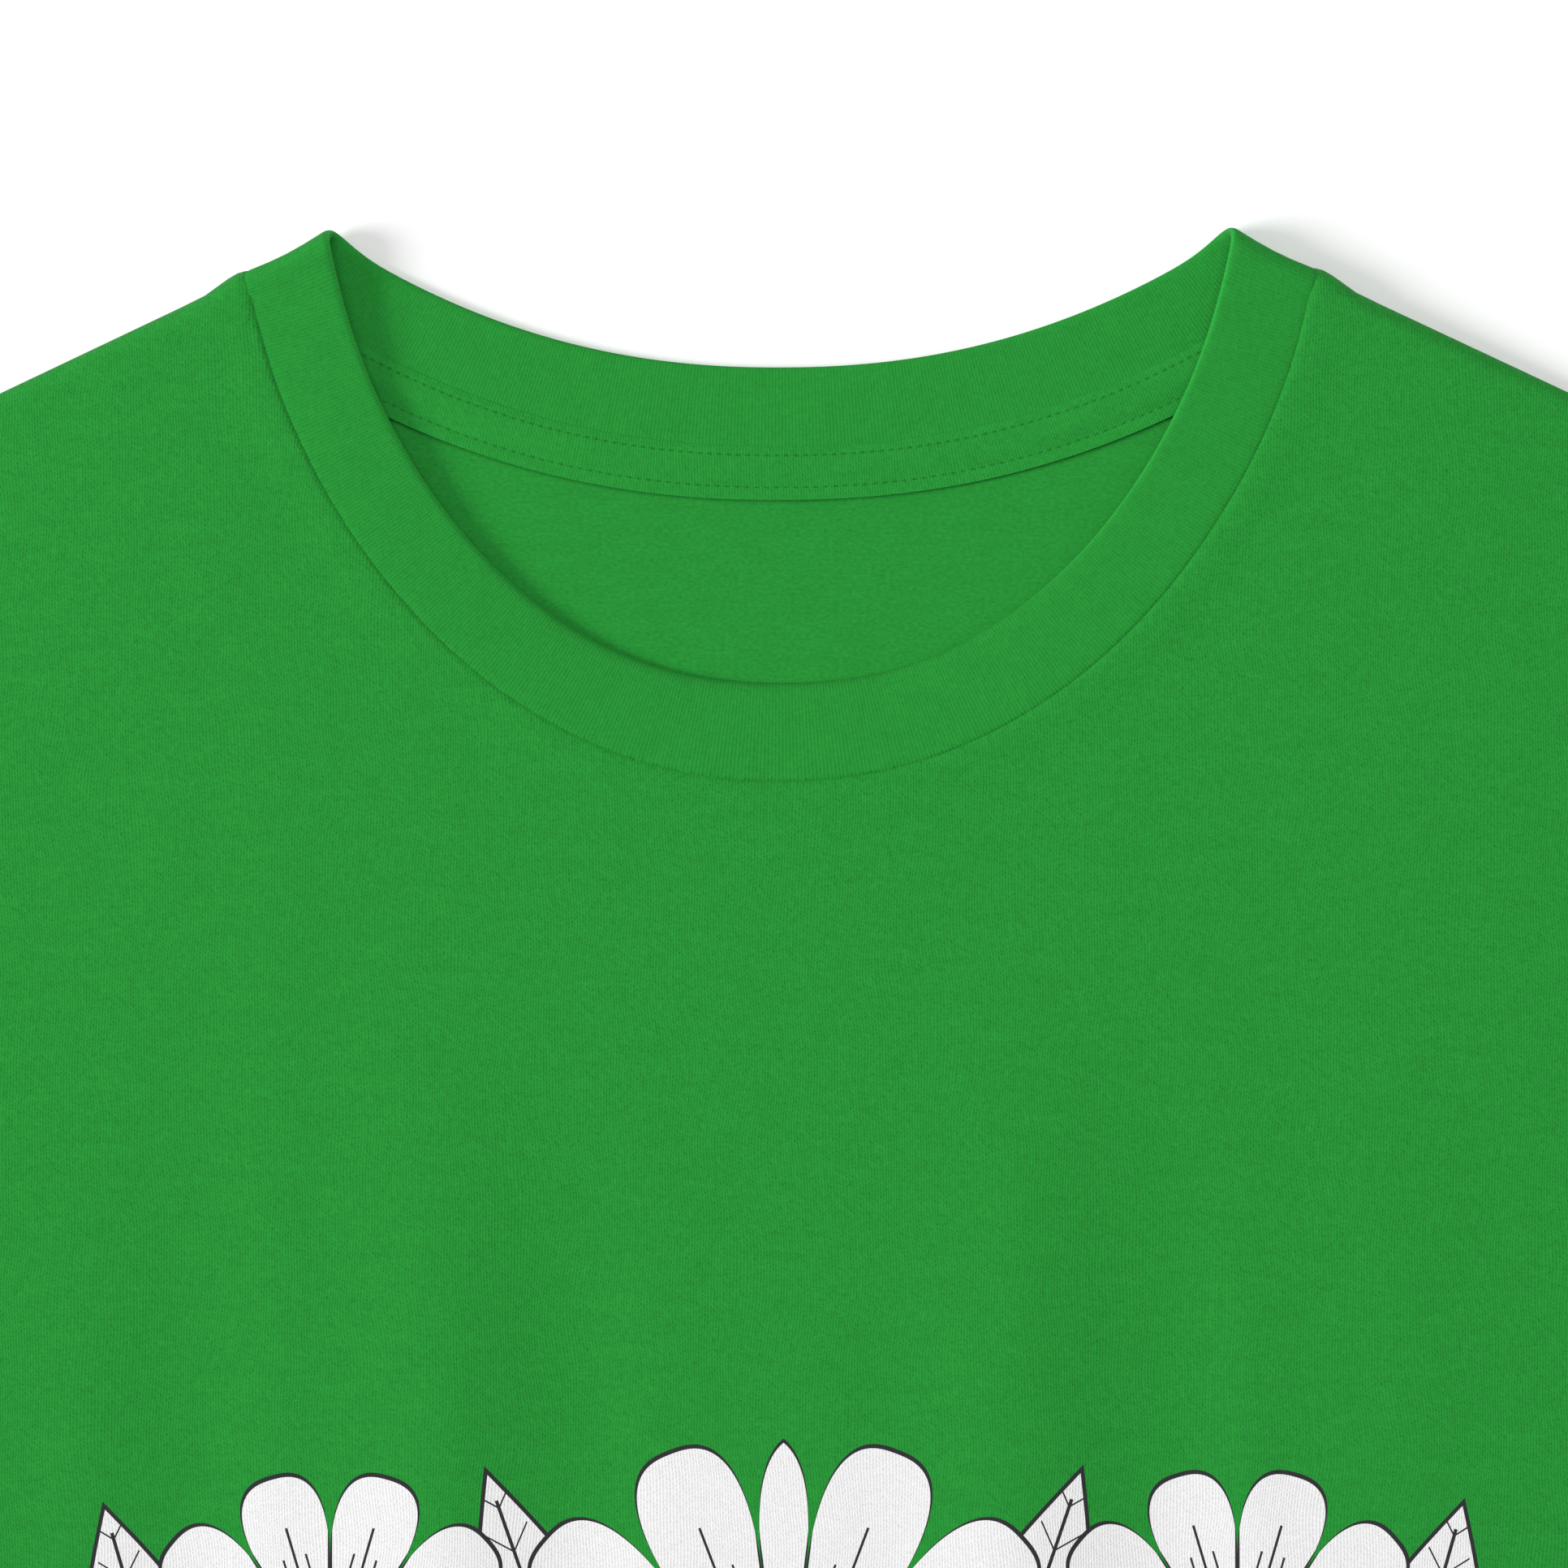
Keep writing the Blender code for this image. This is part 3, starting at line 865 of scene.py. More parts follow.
@dataclass(frozen=True)
class Jersey:
    """Single jersey in combed cotton, dyed in the piece."""

    name: str
    face: Face = Face.OUTSIDE
    colour: Colour = (0.0187, 0.2610, 0.0340, 1.0)
    pitch: float = 0.00056
    stitch_height: float = 0.00086
    groove_shade: float = 0.06
    dot_shade: float = 0.20
    fuzz_shade: float = 0.40
    fuzz_lean: float = 0.45
    mottle_shade: float = 0.26
    print_knit: float = 0.45
    stitch_relief: float = 0.00003
    artwork: Bouquet | None = None
    needle_rows: NeedleRows | None = None

    def material(self) -> bpy.types.Material:
        """Draws the knit, its mottle and what lies on it.

        Returns:
            The finished material.
        """
        recipe = Recipe(self.name)
        across, up = recipe.cloth_place()
        draw_face = self.loops if self.face is Face.INSIDE else self.columns
        knit, relief = draw_face(recipe, across, up)
        mottle = recipe.noise(across, up, (0.0090, 0.0032), 2.0) * 0.6
        mottle = mottle + recipe.noise(across, up, (0.0022, 0.0012)) * 0.4
        amount = knit * (1.0 + (mottle - 0.5) * self.mottle_shade)
        if self.needle_rows:
            # painted shade of the needle holes
            amount = amount * (1.0 - self.needle_rows.shade(across, up))
        colour = recipe.shade(self.colour, amount)
        if self.artwork:
            colour, cover = self.artwork.paint(recipe, across, up, colour)
            colour = recipe.shade(colour, 1.0 - cover * (1.0 - knit) * self.print_knit)
        return recipe.finish(colour, relief)

    def columns(self, recipe: Recipe, across: Amount, up: Amount) -> tuple[Amount, Amount]:
        """The outside: upright columns, with dark slits between their stitches.

        Args:
            recipe: The material.
            across: Place across the cloth.
            up: Place along it.

        Returns:
            How light the cloth is, and its relief in metres.
        """
        pitch, height = self.pitch, self.stitch_height
        drift = (recipe.noise(across, up, (0.026, 0.030)) - 0.5) * (10.0 * pitch)
        slip = (recipe.noise(across, up, (pitch * 1.8, 0.0030)) - 0.5) * (2.6 * height)
        moved = across + drift
        groove = moved.wave(pitch)
        lattice = (moved * (math.pi / pitch)).cosine() * ((up + slip) * (2 * math.pi / height)).cosine()
        slits = lattice.rise(0.0, 1.0)
        fuzz = recipe.noise(moved + up * self.fuzz_lean, up, (pitch * 0.75, pitch * 1.5)) - 0.5
        depth = recipe.noise(across, up, (pitch * 1.7, pitch * 2.3)).rise(0.32, 0.68)
        knit = 1.0 + self.groove_shade * 0.5 + self.dot_shade * 0.14 + self.fuzz_shade * fuzz
        knit = knit - groove * (0.5 + depth) * self.groove_shade - slits * depth * self.dot_shade
        return knit, (groove + slits) * -self.stitch_relief

    def loops(self, recipe: Recipe, across: Amount, up: Amount) -> tuple[Amount, Amount]:
        """The inside: level rows of small loops.

        Args:
            recipe: The material.
            across: Place across the cloth.
            up: Place along it.

        Returns:
            How light the cloth is, and its relief in metres.
        """
        drift = (recipe.noise(across, up, (0.020, 0.010)) - 0.5) * self.pitch
        row = (up + drift + across.wave(self.pitch) * (0.22 * self.pitch)).wave(self.pitch * 0.8)
        fuzz = recipe.noise(across, up, (self.pitch * 1.6, self.pitch * 0.9)) - 0.5
        knit = 1.0 - (row - 0.5) * self.groove_shade + 1.3 * self.fuzz_shade * fuzz
        return knit, row * -self.stitch_relief


@dataclass(frozen=True)
class Rib:
    """One by one rib: raised columns that cross the collar."""

    name: str = "collar_rib"
    colour: Colour = (0.0186, 0.2600, 0.0338, 1.0)
    pitch: float = 0.00063
    stitch_height: float = 0.00074
    width: float = 0.019
    groove_shade: float = 0.075
    dot_shade: float = 0.09
    fuzz_shade: float = 0.28
    mottle_shade: float = 0.14
    seam_shade: float = 0.30
    # how much the painted highlight lightens the rib along its folded edge
    fold_painted_highlight: float = 0.30
    stitch_relief: float = 0.00003

    def material(self) -> bpy.types.Material:
        """Draws the columns, darker grooves at the seam, and a painted highlight along the folded edge.

        Returns:
            The finished material.
        """
        recipe = Recipe(self.name)
        across, up = recipe.cloth_place()
        pitch = self.pitch
        groove = across.wave(pitch)
        slip = (recipe.noise(across, up, (pitch * 1.5, 0.0030)) - 0.5) * (2.6 * self.stitch_height)
        dots = (groove * (up + slip).wave(self.stitch_height)).rise(0.10, 0.95)
        depth = recipe.noise(across, up, (pitch * 1.6, pitch * 1.8)).rise(0.34, 0.68)
        fuzz = recipe.noise(across, up, (pitch * 0.9, pitch * 1.2)) - 0.5
        mottle = recipe.noise(across, up, (0.0035, 0.0060), 2.0) - 0.5
        knit = 1.0 + self.groove_shade * 0.5 + self.dot_shade * 0.12
        knit = knit + self.fuzz_shade * fuzz + self.mottle_shade * mottle
        knit = knit - groove * (0.4 + depth) * self.groove_shade - dots * depth * self.dot_shade
        at_seam = 1.0 - abs(up - self.width).rise(0.0002, 0.0013)
        # painted highlight: the rib's colour is made lighter along its folded free edge
        painted_highlight_at_fold = 1.0 - up.or_less(2 * self.width - up).rise(0.0, 0.0008)
        knit = knit - groove * at_seam * depth * self.seam_shade + painted_highlight_at_fold * self.fold_painted_highlight
        return recipe.finish(recipe.shade(self.colour, knit), dots * -self.stitch_relief)


@dataclass(frozen=True)
class Thread:
    """Sewing thread: two strands, wound round each other."""

    name: str = "sewing_thread"
    colour: Colour = (0.0180, 0.2460, 0.0330, 1.0)
    twist_pitch: float = 0.00045
    relief: float = 0.00003

    def material(self) -> bpy.types.Material:
        """Draws the twist.

        Returns:
            The finished material.
        """
        recipe = Recipe(self.name)
        x, y = recipe.split(recipe.node("ShaderNodeTexCoord", {}, {}).outputs["Object"])
        twist = (x + y * 0.6).wave(self.twist_pitch)
        return recipe.finish(recipe.shade(self.colour, 0.90 + twist * 0.18), twist * self.relief)


@dataclass(frozen=True)
class Plain:
    """A smooth dull surface, for the floor."""

    name: str
    colour: Colour

    def material(self) -> bpy.types.Material:
        """Sets the even colour.

        Returns:
            The finished material.
        """
        recipe = Recipe(self.name)
        values = {"Base Color": self.colour, "Roughness": 0.9, "Specular IOR Level": 0.0}
        recipe.feed(recipe.shader.inputs, values)
        return recipe.material


# Modelling by Blender's tools


def select_only(obj: bpy.types.Object) -> None:
    """Makes one object the only one selected, and the active one.

    Args:
        obj: The object.
    """
    bpy.ops.object.select_all(action="DESELECT")
    obj.select_set(True)
    bpy.context.view_layer.objects.active = obj


def lay_grid(name: str, points: Array, place: Array) -> bpy.types.Object:
    """Adds a grid and puts each of its points in its place.

    Args:
        name: The object's name.
        points: Where the grid's points go, by row and column.
        place: Where each point lies on the flat cloth, in metres.

    Returns:
        The grid, as a sheet without thickness.
    """
    rows, columns = points.shape[0] - 1, points.shape[1] - 1
    bpy.ops.object.select_all(action="DESELECT")
    bpy.ops.mesh.primitive_grid_add(x_subdivisions=columns, y_subdivisions=rows, size=1.0, calc_uvs=False)
    obj = bpy.context.object
    obj.name = obj.data.name = name
    mesh = obj.data
    flat = np.empty(len(mesh.vertices) * 3)
    mesh.vertices.foreach_get("co", flat)
    flat = flat.reshape(-1, 3)
    column = np.rint((flat[:, 0] + 0.5) * columns).astype(int)
    row = np.rint((flat[:, 1] + 0.5) * rows).astype(int)
    mesh.vertices.foreach_set("co", points[row, column].ravel())
    corners = np.empty(len(mesh.loops), int)
    mesh.loops.foreach_get("vertex_index", corners)
    layer = mesh.uv_layers.new(name=CLOTH_MAP)
    layer.data.foreach_set("uv", place[row, column][corners].ravel())
    mesh.update()
    return obj


def weld(obj: bpy.types.Object) -> None:
    """Joins the meeting edges of a closed grid and turns its faces outwards.

    Args:
        obj: The grid.
    """
    select_only(obj)
    bpy.ops.object.mode_set(mode="EDIT")
    bpy.ops.mesh.select_all(action="SELECT")
    bpy.ops.mesh.remove_doubles(threshold=WELD)
    bpy.ops.mesh.normals_make_consistent(inside=False)
    bpy.ops.object.mode_set(mode="OBJECT")


def use_modifier(obj: bpy.types.Object, kind: str, **settings: Any) -> None:
    """Adds a modifier with these settings and applies it.

    Args:
        obj: The object.
        kind: The modifier's type.
        settings: Its settings by name.
    """
    select_only(obj)
    bpy.ops.object.modifier_add(type=kind)
    modifier = obj.modifiers[-1]
    for key, value in settings.items():
        setattr(modifier, key, value)
    bpy.ops.object.modifier_apply(modifier=modifier.name)


def place_on_frame(obj: bpy.types.Object, cut: Cut) -> None:
    """Moves a piece from the cut's plan to the frame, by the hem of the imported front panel.

    Args:
        obj: The piece.
        cut: The cut that it was drawn in.
    """
    select_only(obj)
    obj.location.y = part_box("front_panel")[0].y + cut.body_length
    bpy.ops.object.transform_apply(location=True, rotation=True, scale=True)
    bpy.ops.object.shade_smooth_by_angle(angle=math.radians(50.0))


def dress(obj: bpy.types.Object, finishes: Sequence[Any]) -> None:
    """Gives a piece the materials of its finishes in order."""
    for finish in finishes:
        obj.data.materials.append(finish.material())


def register(obj: bpy.types.Object, slot: str, *nodes: str) -> None:
    """Hangs a piece under the body's empty, hides the parts that it stands for and logs its faces.

    Args:
        obj: The piece.
        slot: Its material slot, not used.
        nodes: The nodes that it stands for.
    """
    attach(obj, BODY)
    if nodes:
        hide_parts(*nodes)
    log.info("%s: %d faces", obj.name, len(obj.data.polygons))


# Sewing


@dataclass
class StitchRow:
    """A row of short stitches that lie in the cloth."""

    cut: Cut
    name: str
    line: Array
    pitch: float = 0.0028
    length: float = 0.0023
    radius: float = 0.00020
    sink: float = 0.00005
    facets: int = 6

    def build(self) -> bpy.types.Object:
        """Models one stitch, repeats it and bends the row along its line.

        Returns:
            The row, on the frame.
        """
        bpy.ops.object.select_all(action="DESELECT")
        bpy.ops.mesh.primitive_uv_sphere_add(
            segments=self.facets,
            ring_count=self.facets,
            radius=1.0,
            location=(self.pitch / 2, 0.0, -self.sink),
            rotation=(0.0, math.pi / 2, 0.0),
        )
        obj = bpy.context.object
        obj.name = obj.data.name = self.name
        obj.scale = (self.radius, self.radius, self.length / 2)
        bpy.ops.object.transform_apply(location=True, rotation=True, scale=True)
        path = self.path()
        use_modifier(
            obj,
            "ARRAY",
            count=int(run_of(self.line)[-1] / self.pitch),
            use_relative_offset=False,
            use_constant_offset=True,
            constant_offset_displace=(self.pitch, 0.0, 0.0),
        )
        use_modifier(obj, "CURVE", object=path, deform_axis="POS_X")
        bpy.data.objects.remove(path, do_unlink=True)
        dress(obj, (Thread(),))
        place_on_frame(obj, self.cut)
        return obj

    def path(self) -> bpy.types.Object:
        """The curve that the row follows.

        Returns:
            The curve.
        """
        curve = bpy.data.curves.new(self.name + "_path", "CURVE")
        curve.dimensions = "3D"
        curve.twist_mode = "Z_UP"
        spline = curve.splines.new("POLY")
        spline.points.add(len(self.line) - 1)
        for point, place in zip(spline.points, self.line):
            point.co = (*place, 1.0)
        path = bpy.data.objects.new(self.name + "_path", curve)
        bpy.context.scene.collection.objects.link(path)
        return path


# Pieces of cloth


@dataclass
class Piece:
    """What every piece of cloth shares. Its flat size is that of its cut, in metres."""

    node: ClassVar[str]
    name: ClassVar[str]
    slot: ClassVar[str] = "jersey"
    flat: ClassVar[tuple[float, float]] = (0.575, 0.785)

    cut: Cut
    drape: Drape

    def build(self) -> bpy.types.Object:
        """Models the piece."""
        raise NotImplementedError

    def sewing(self) -> list[StitchRow]:
        """The rows of stitches in the piece."""
        return []

    def lay(self, points: Array, place: Array, finishes: Sequence[Any], thickness: float) -> bpy.types.Object:
        """Thickens the piece from a grid of points and dresses it.

        Args:
            points: Where the grid's points go, by row and column.
            place: Where each point lies on the flat cloth, in metres.
            finishes: The finish of its outside, and that of its inside if it is another.
            thickness: How thick it gets, 0 where the grid already goes round it.

        Returns:
            The piece, on the frame.
        """
        obj = lay_grid(self.name, points, place)
        if np.allclose(points[:, 0], points[:, -1]) or np.allclose(points[0], points[-1]):
            weld(obj)
        dress(obj, finishes)
        if thickness:
            use_modifier(
                obj, "SOLIDIFY", thickness=thickness, offset=0.0, material_offset=len(finishes) - 1
            )
        place_on_frame(obj, self.cut)
        return obj

    def make(self) -> None:
        """Builds the piece and its stitches, registers them and states the piece's cut."""
        obj = self.build()
        register(obj, self.slot, self.node)
        rows = []
        for row in self.sewing():
            rows.append(row.build())
            register(rows[-1], self.slot)
        area = sum(face.area for face in obj.data.polygons) / 2
        log.info("%s: %.4f square metres of %.4f", obj.name, area, self.flat[0] * self.flat[1])


# Body panels


@dataclass
class BodyPanel(Piece):
    """What the front and the back panel share: a grid between shoulders, sides and hem."""

    neck_columns: int = 110
    shoulder_columns: int = 34
    rows: int = 158
    hem_neck_half_width: float = 0.112
    edge_steps: tuple[float, ...] = (0.0, 0.0006, 0.0015, 0.0028, 0.0045, 0.0068)
    neck_steps: tuple[float, ...] = (0.0, 0.0012, 0.0026, 0.0045)
    top_steps: tuple[float, ...] = (
        0.0, 0.0004, 0.0008, 0.0013, 0.0020, 0.0030, 0.0044, 0.0062, 0.0084, 0.0105,
    )
    hem_rows: tuple[float, ...] = (0.0190, 0.0250)
    hem_steps: tuple[float, ...] = (
        0.0, 0.0010, 0.0035, 0.0075, 0.0120, 0.0160, 0.0180, 0.0190, 0.0200, 0.0220, 0.0240, 0.0250,
        0.0262, 0.0300,
    )
    turn_steps: int = 4
    turn_cloth: float = 0.0004
    corner_inset: float = 0.0012
    edge_z: float = 0.0016
    inner_hem_z: float = 0.0028

    def neck_edge(self, seam: FrontLine | BackLine, shift: float, tip_shift: tuple[float, float]) -> Array:
        """The neck edge from left to right, in even steps.

        Args:
            seam: The collar's seam, which it follows.
            shift: How far it lies outside the seam.
            tip_shift: How far its last point lies from the neck point.

        Returns:
            Points of the plan.
        """
        fine = seam.points(np.linspace(-1.0, 1.0, 20 * self.cut.samples))
        run = np.linspace(0.0, float(run_of(fine)[-1]), self.neck_columns + 1)
        edge = beside(along(fine, run), shift)
        tip = self.cut.neck_tip + tip_shift
        edge[0], edge[-1] = tip * TURNED_OVER, tip
        return edge

    def plan(self, neck: Array) -> Array:
        """Plan of the panel.

        Args:
            neck: The panel's neck edge, from its left end to its right one.

        Returns:
            Points by row from the neck to the hem, and by column from left to right.
        """
        cut, neck_half = self.cut, self.hem_neck_half_width
        widths = (float(np.linalg.norm(cut.shoulder_tip - cut.neck_tip)), cut.body_half_width - neck_half)
        shoulder, hem_side = (
            spread(self.neck_steps, self.edge_steps, width, self.shoulder_columns)[1:] for width in widths
        )
        right = neck[-1] + shoulder[:, None] * (cut.shoulder_tip - neck[-1]) / shoulder[-1]
        top = np.vstack((right[::-1] * TURNED_OVER, neck, right))
        hem_neck = np.linspace(-neck_half, neck_half, len(neck))
        hem_x = np.concatenate((-(neck_half + hem_side)[::-1], hem_neck, neck_half + hem_side))
        hem = pair(hem_x, -cut.body_length)
        line = cut.side_line()
        run = spread(self.top_steps, self.hem_steps, float(run_of(line)[-1]), self.rows)
        side = along(line, run)
        down = (run / run[-1])[:, None, None]
        across = ((hem_x / cut.body_half_width + 1.0) / 2)[None, :, None]
        plan = (1 - down) * top[None] + down * hem[None]
        plan = plan + (1 - across) * (side * TURNED_OVER)[:, None] + across * side[:, None]
        corners = (1 - across) * ((1 - down) * top[0] + down * hem[0])
        return plan - corners - across * ((1 - down) * top[-1] + down * hem[-1])

    def turned_heights(self, heights: Array) -> Array:
        """Heights of the turned cloth below or above a row of the panel.

        Args:
            heights: The heights along the row.

        Returns:
            Those of the turned cloth.
        """
        middle = float(np.median(heights)) - self.edge_z
        share = (self.inner_hem_z - self.edge_z) / middle if abs(middle) > WELD else 1.0
        return self.edge_z + (heights - self.edge_z) * share

    def sew_up(self, points: Array, finishes: Sequence[Any]) -> bpy.types.Object:
        """Continues the panel round its hem and back up inside, and makes it.

        Args:
            points: The panel's points, by row from the neck to the hem.
            finishes: The finish of its upper side, and that of its lower one.

        Returns:
            The panel, on the frame.
        """
        place, hem = points[..., :2], points[-1]
        start, end = hem[:, 2], self.turned_heights(hem[:, 2])
        middle, half = (start + end) / 2, (start - end) / 2
        inset = self.corner_inset / self.cut.body_half_width
        rows, places = [], []
        for step in range(1, self.turn_steps + 1):
            angle = math.pi * step / self.turn_steps
            x = hem[:, 0] * (1.0 - inset * step / self.turn_steps)
            y = hem[:, 1] - np.abs(half) * math.sin(angle)
            rows.append(with_height(pair(x, y), middle + half * math.cos(angle)))
            places.append(place[-1] - (0.0, self.turn_cloth * step))
        up_to = self.cut.hem_depth + MILLIMETRE / 10 - self.cut.body_length
        for source in points[points[:, 0, 1] < up_to][::-1][1:]:
            plan = source[:, :2] * (1.0 - inset, 1.0)
            rows.append(with_height(plan, self.turned_heights(source[:, 2])))
            places.append(place[-1] - (0.0, float(source[0, 1]) + self.cut.body_length))
        points, place = np.concatenate((points, rows)), np.concatenate((place, places))
        return self.lay(points[::-1], place[::-1], finishes, self.drape.cloth)


@dataclass
class FrontPanel(BodyPanel):
    """The front, whose neck edge dips into the collar seam."""

    node: ClassVar[str] = "front_panel"
    name: ClassVar[str] = "front_panel_cloth"

    overlap: float = 0.0009
    dive: float = 0.0014
    dive_rise: float = 0.0012
    hem_full_z: float = 0.0031
    neck_bump: float = 0.0014
    neck_bump_place: float = 0.0018
    neck_bump_width: float = 0.0036
    neck_bump_reach: float = 0.006
    stitch_inset: float = 0.004
    stitch_samples: int = 90

    def build(self) -> bpy.types.Object:
        """Models the panel and its turned hem.

        Returns:
            The piece, on the frame.
        """
        neck_edge = self.neck_edge(self.cut.neck_seam, -self.overlap, (-self.overlap, self.overlap / 2))
        plan = self.plan(neck_edge)
        height = self.drape.upper(plan, self.edge_z)
        dive = self.dive * (1.0 - ramp(nearest_on(plan, neck_edge)[0], 0.0, self.overlap * 1.5))
        height = height - dive * ramp(height, self.edge_z, self.edge_z + self.dive_rise)
        relief = self.drape.hem_relief(plan[..., 1] + self.cut.body_length, self.hem_rows)
        height = height + relief * ramp(height, self.edge_z, self.hem_full_z)
        from_bump = np.abs(plan[..., 0]) - self.cut.neck_x - self.neck_bump_place
        rise = self.neck_bump * bump(from_bump, self.neck_bump_width)
        plan[..., 1] += rise * bump(run_of(plan[:, 0])[:, None], self.neck_bump_reach)
        inside = Jersey("front_jersey_inside", Face.INSIDE)
        return self.sew_up(with_height(plan, height), (Jersey("front_jersey", artwork=Bouquet()), inside))

    def sewing(self) -> list[StitchRow]:
        """The rows of stitches along the hem.

        Returns:
            The rows.
        """
        half = self.cut.body_half_width - self.stitch_inset
        rows = []
        for number, row in enumerate(self.hem_rows, 1):
            plan = pair(np.linspace(-half, half, self.stitch_samples), row - self.cut.body_length)
            height = self.drape.upper(plan, self.edge_z)
            height = height + self.drape.hem_relief(np.full(len(plan), row), self.hem_rows)
            line = with_height(plan, height + self.drape.cloth / 2)
            rows.append(StitchRow(self.cut, f"hem_stitches_{number}", line))
        return rows


@dataclass
class BackPanel(BodyPanel):
    """The back, which lies flat on the surface and shows its inside in the neck."""

    node: ClassVar[str] = "back_panel"
    name: ClassVar[str] = "back_panel_cloth"

    neck_columns: int = 70
    shoulder_columns: int = 22
    rows: int = 90
    edge_rise: float = 0.0011
    edge_rise_width: float = 0.0040
    seam_gap: float = 0.0003
    edge_z: float = 0.00155
    inner_hem_z: float = 0.00155

    def build(self) -> bpy.types.Object:
        """Models the panel and its turned hem.

        Returns:
            The piece, on the frame.
        """
        plan = self.plan(self.neck_edge(self.cut.back_neck_seam, self.seam_gap, (self.seam_gap, 0.0)))
        side = np.vstack((self.cut.neck_tip, self.cut.side_line()))
        at_edge = 1.0 - ramp(nearest_on(mirrored(plan), side)[0], 0.0, self.edge_rise_width)
        points = with_height(plan, self.drape.lower + self.edge_rise * at_edge)
        return self.sew_up(points, (Jersey("back_jersey_inside", Face.INSIDE), Jersey("back_jersey")))


# Sleeves


@dataclass
class Sleeve(Piece):
    """A sleeve that lies as a flattened tube, with a turned hem at the wrist."""

    flat: ClassVar[tuple[float, float]] = (0.505, 0.640)

    side: Side
    rows: int = 132
    row_bias: float = 1.05
    upper_columns: int = 34
    lower_columns: int = 16
    fold_z: float = 0.0016
    fold_round: float = 0.0013
    head_gap: float = 0.00004
    underarm_gap: float = 0.0003
    underarm_power: float = 16.0
    upper_steps: tuple[float, ...] = (0.0, 0.0003, 0.0008, 0.0016, 0.0028, 0.0045, 0.0068)
    lower_steps: tuple[float, ...] = (0.0, 0.0004, 0.0009, 0.0015)
    hem_rows: tuple[float, ...] = (0.0190, 0.0250)
    hem_steps: tuple[float, ...] = (
        0.0, 0.0015, 0.006, 0.012, 0.0165, 0.019, 0.021, 0.023, 0.025, 0.027, 0.031,
    )
    turn_steps: int = 4
    turn_gap: float = 0.00105
    turn_cloth: float = 0.0004
    corner_inset: float = 0.0012
    inner_upper_z: float = 0.0028
    hem_full_z: float = 0.0030
    stitch_inset: float = 0.004
    stitch_samples: int = 40

    @property
    def node(self) -> str:
        """The CAD node that the sleeve stands for."""
        return f"sleeve_{self.side.name.lower()}"

    @property
    def name(self) -> str:
        """The sleeve's name, by the wearer's side."""
        return self.node + "_cloth"

    def head(self, share: Any) -> Array:
        """The sleeve's edge along the armhole."""
        gap = self.head_gap + self.underarm_gap * np.asarray(share, float) ** self.underarm_power
        return self.cut.armhole(share) + pair(gap, 0.0)

    def ring(self, down: float) -> tuple[Array, Array]:
        """One ring round the sleeve, which bends with the armhole near the body.

        Args:
            down: How far down the sleeve the ring lies, as a share.

        Returns:
            Its points from the upper fold over the top and back below, and their flat places.
        """
        cut, drape = self.cut, self.drape
        head = self.head([0.0, 1.0])
        top = cut.sleeve_top([down])[0] + (1 - down) * (head[0] - cut.shoulder_tip)
        bottom = cut.sleeve_bottom([down])[0] + (1 - down) * (head[1] - cut.underarm)
        width = float(np.linalg.norm(bottom - top))
        upper = spread(self.upper_steps, self.upper_steps, width, self.upper_columns) / width
        lower = spread(self.lower_steps, self.lower_steps, width, self.lower_columns) / width
        plans = []
        for share in (upper, lower):
            hole = self.head(share)
            chord = hole[0] + share[:, None] * (hole[-1] - hole[0])
            plans.append(top + share[:, None] * (bottom - top) + (1 - down) ** 2 * (hole - chord))
        upper_z = drape.upper(plans[0] * (self.side.value, 1.0), self.fold_z)
        relief = drape.hem_relief(np.full(len(upper), (1 - down) * cut.sleeve_length), self.hem_rows)
        upper_z = upper_z + relief * ramp(upper_z, self.fold_z, self.hem_full_z)
        upper_z[0] = upper_z[-1] = self.fold_z
        edge = np.minimum(lower, 1.0 - lower) * width
        lower_z = self.fold_z + (drape.lower - self.fold_z) * round_off(edge / self.fold_round)
        points = np.vstack((with_height(plans[0], upper_z), with_height(plans[1], lower_z)[-2::-1]))
        flat = np.concatenate((upper * width, width + (1.0 - lower[-2::-1]) * width))
        return points, pair(flat, -down * cut.sleeve_length)

    def turned(self, ring: Array, share: float) -> Array:
        """Moves a ring inwards to the turned cloth.

        Args:
            ring: Points round the sleeve.
            share: How much of the way it moves.

        Returns:
            The moved ring.
        """
        middle = (ring.max(0) + ring.min(0))[:2] / 2
        span = float(np.linalg.norm(ring.max(0)[:2] - ring.min(0)[:2])) / 2
        plan = middle + (ring[:, :2] - middle) * (1.0 - share * self.corner_inset / span)
        height = ring[:, 2] - self.fold_z
        keep = (self.inner_upper_z - self.fold_z) / float(np.median(height[height > 0.0]))
        moved = np.where(height > 0.0, height * (1 + share * (keep - 1)), height * (1 - share))
        return with_height(plan, self.fold_z + moved)

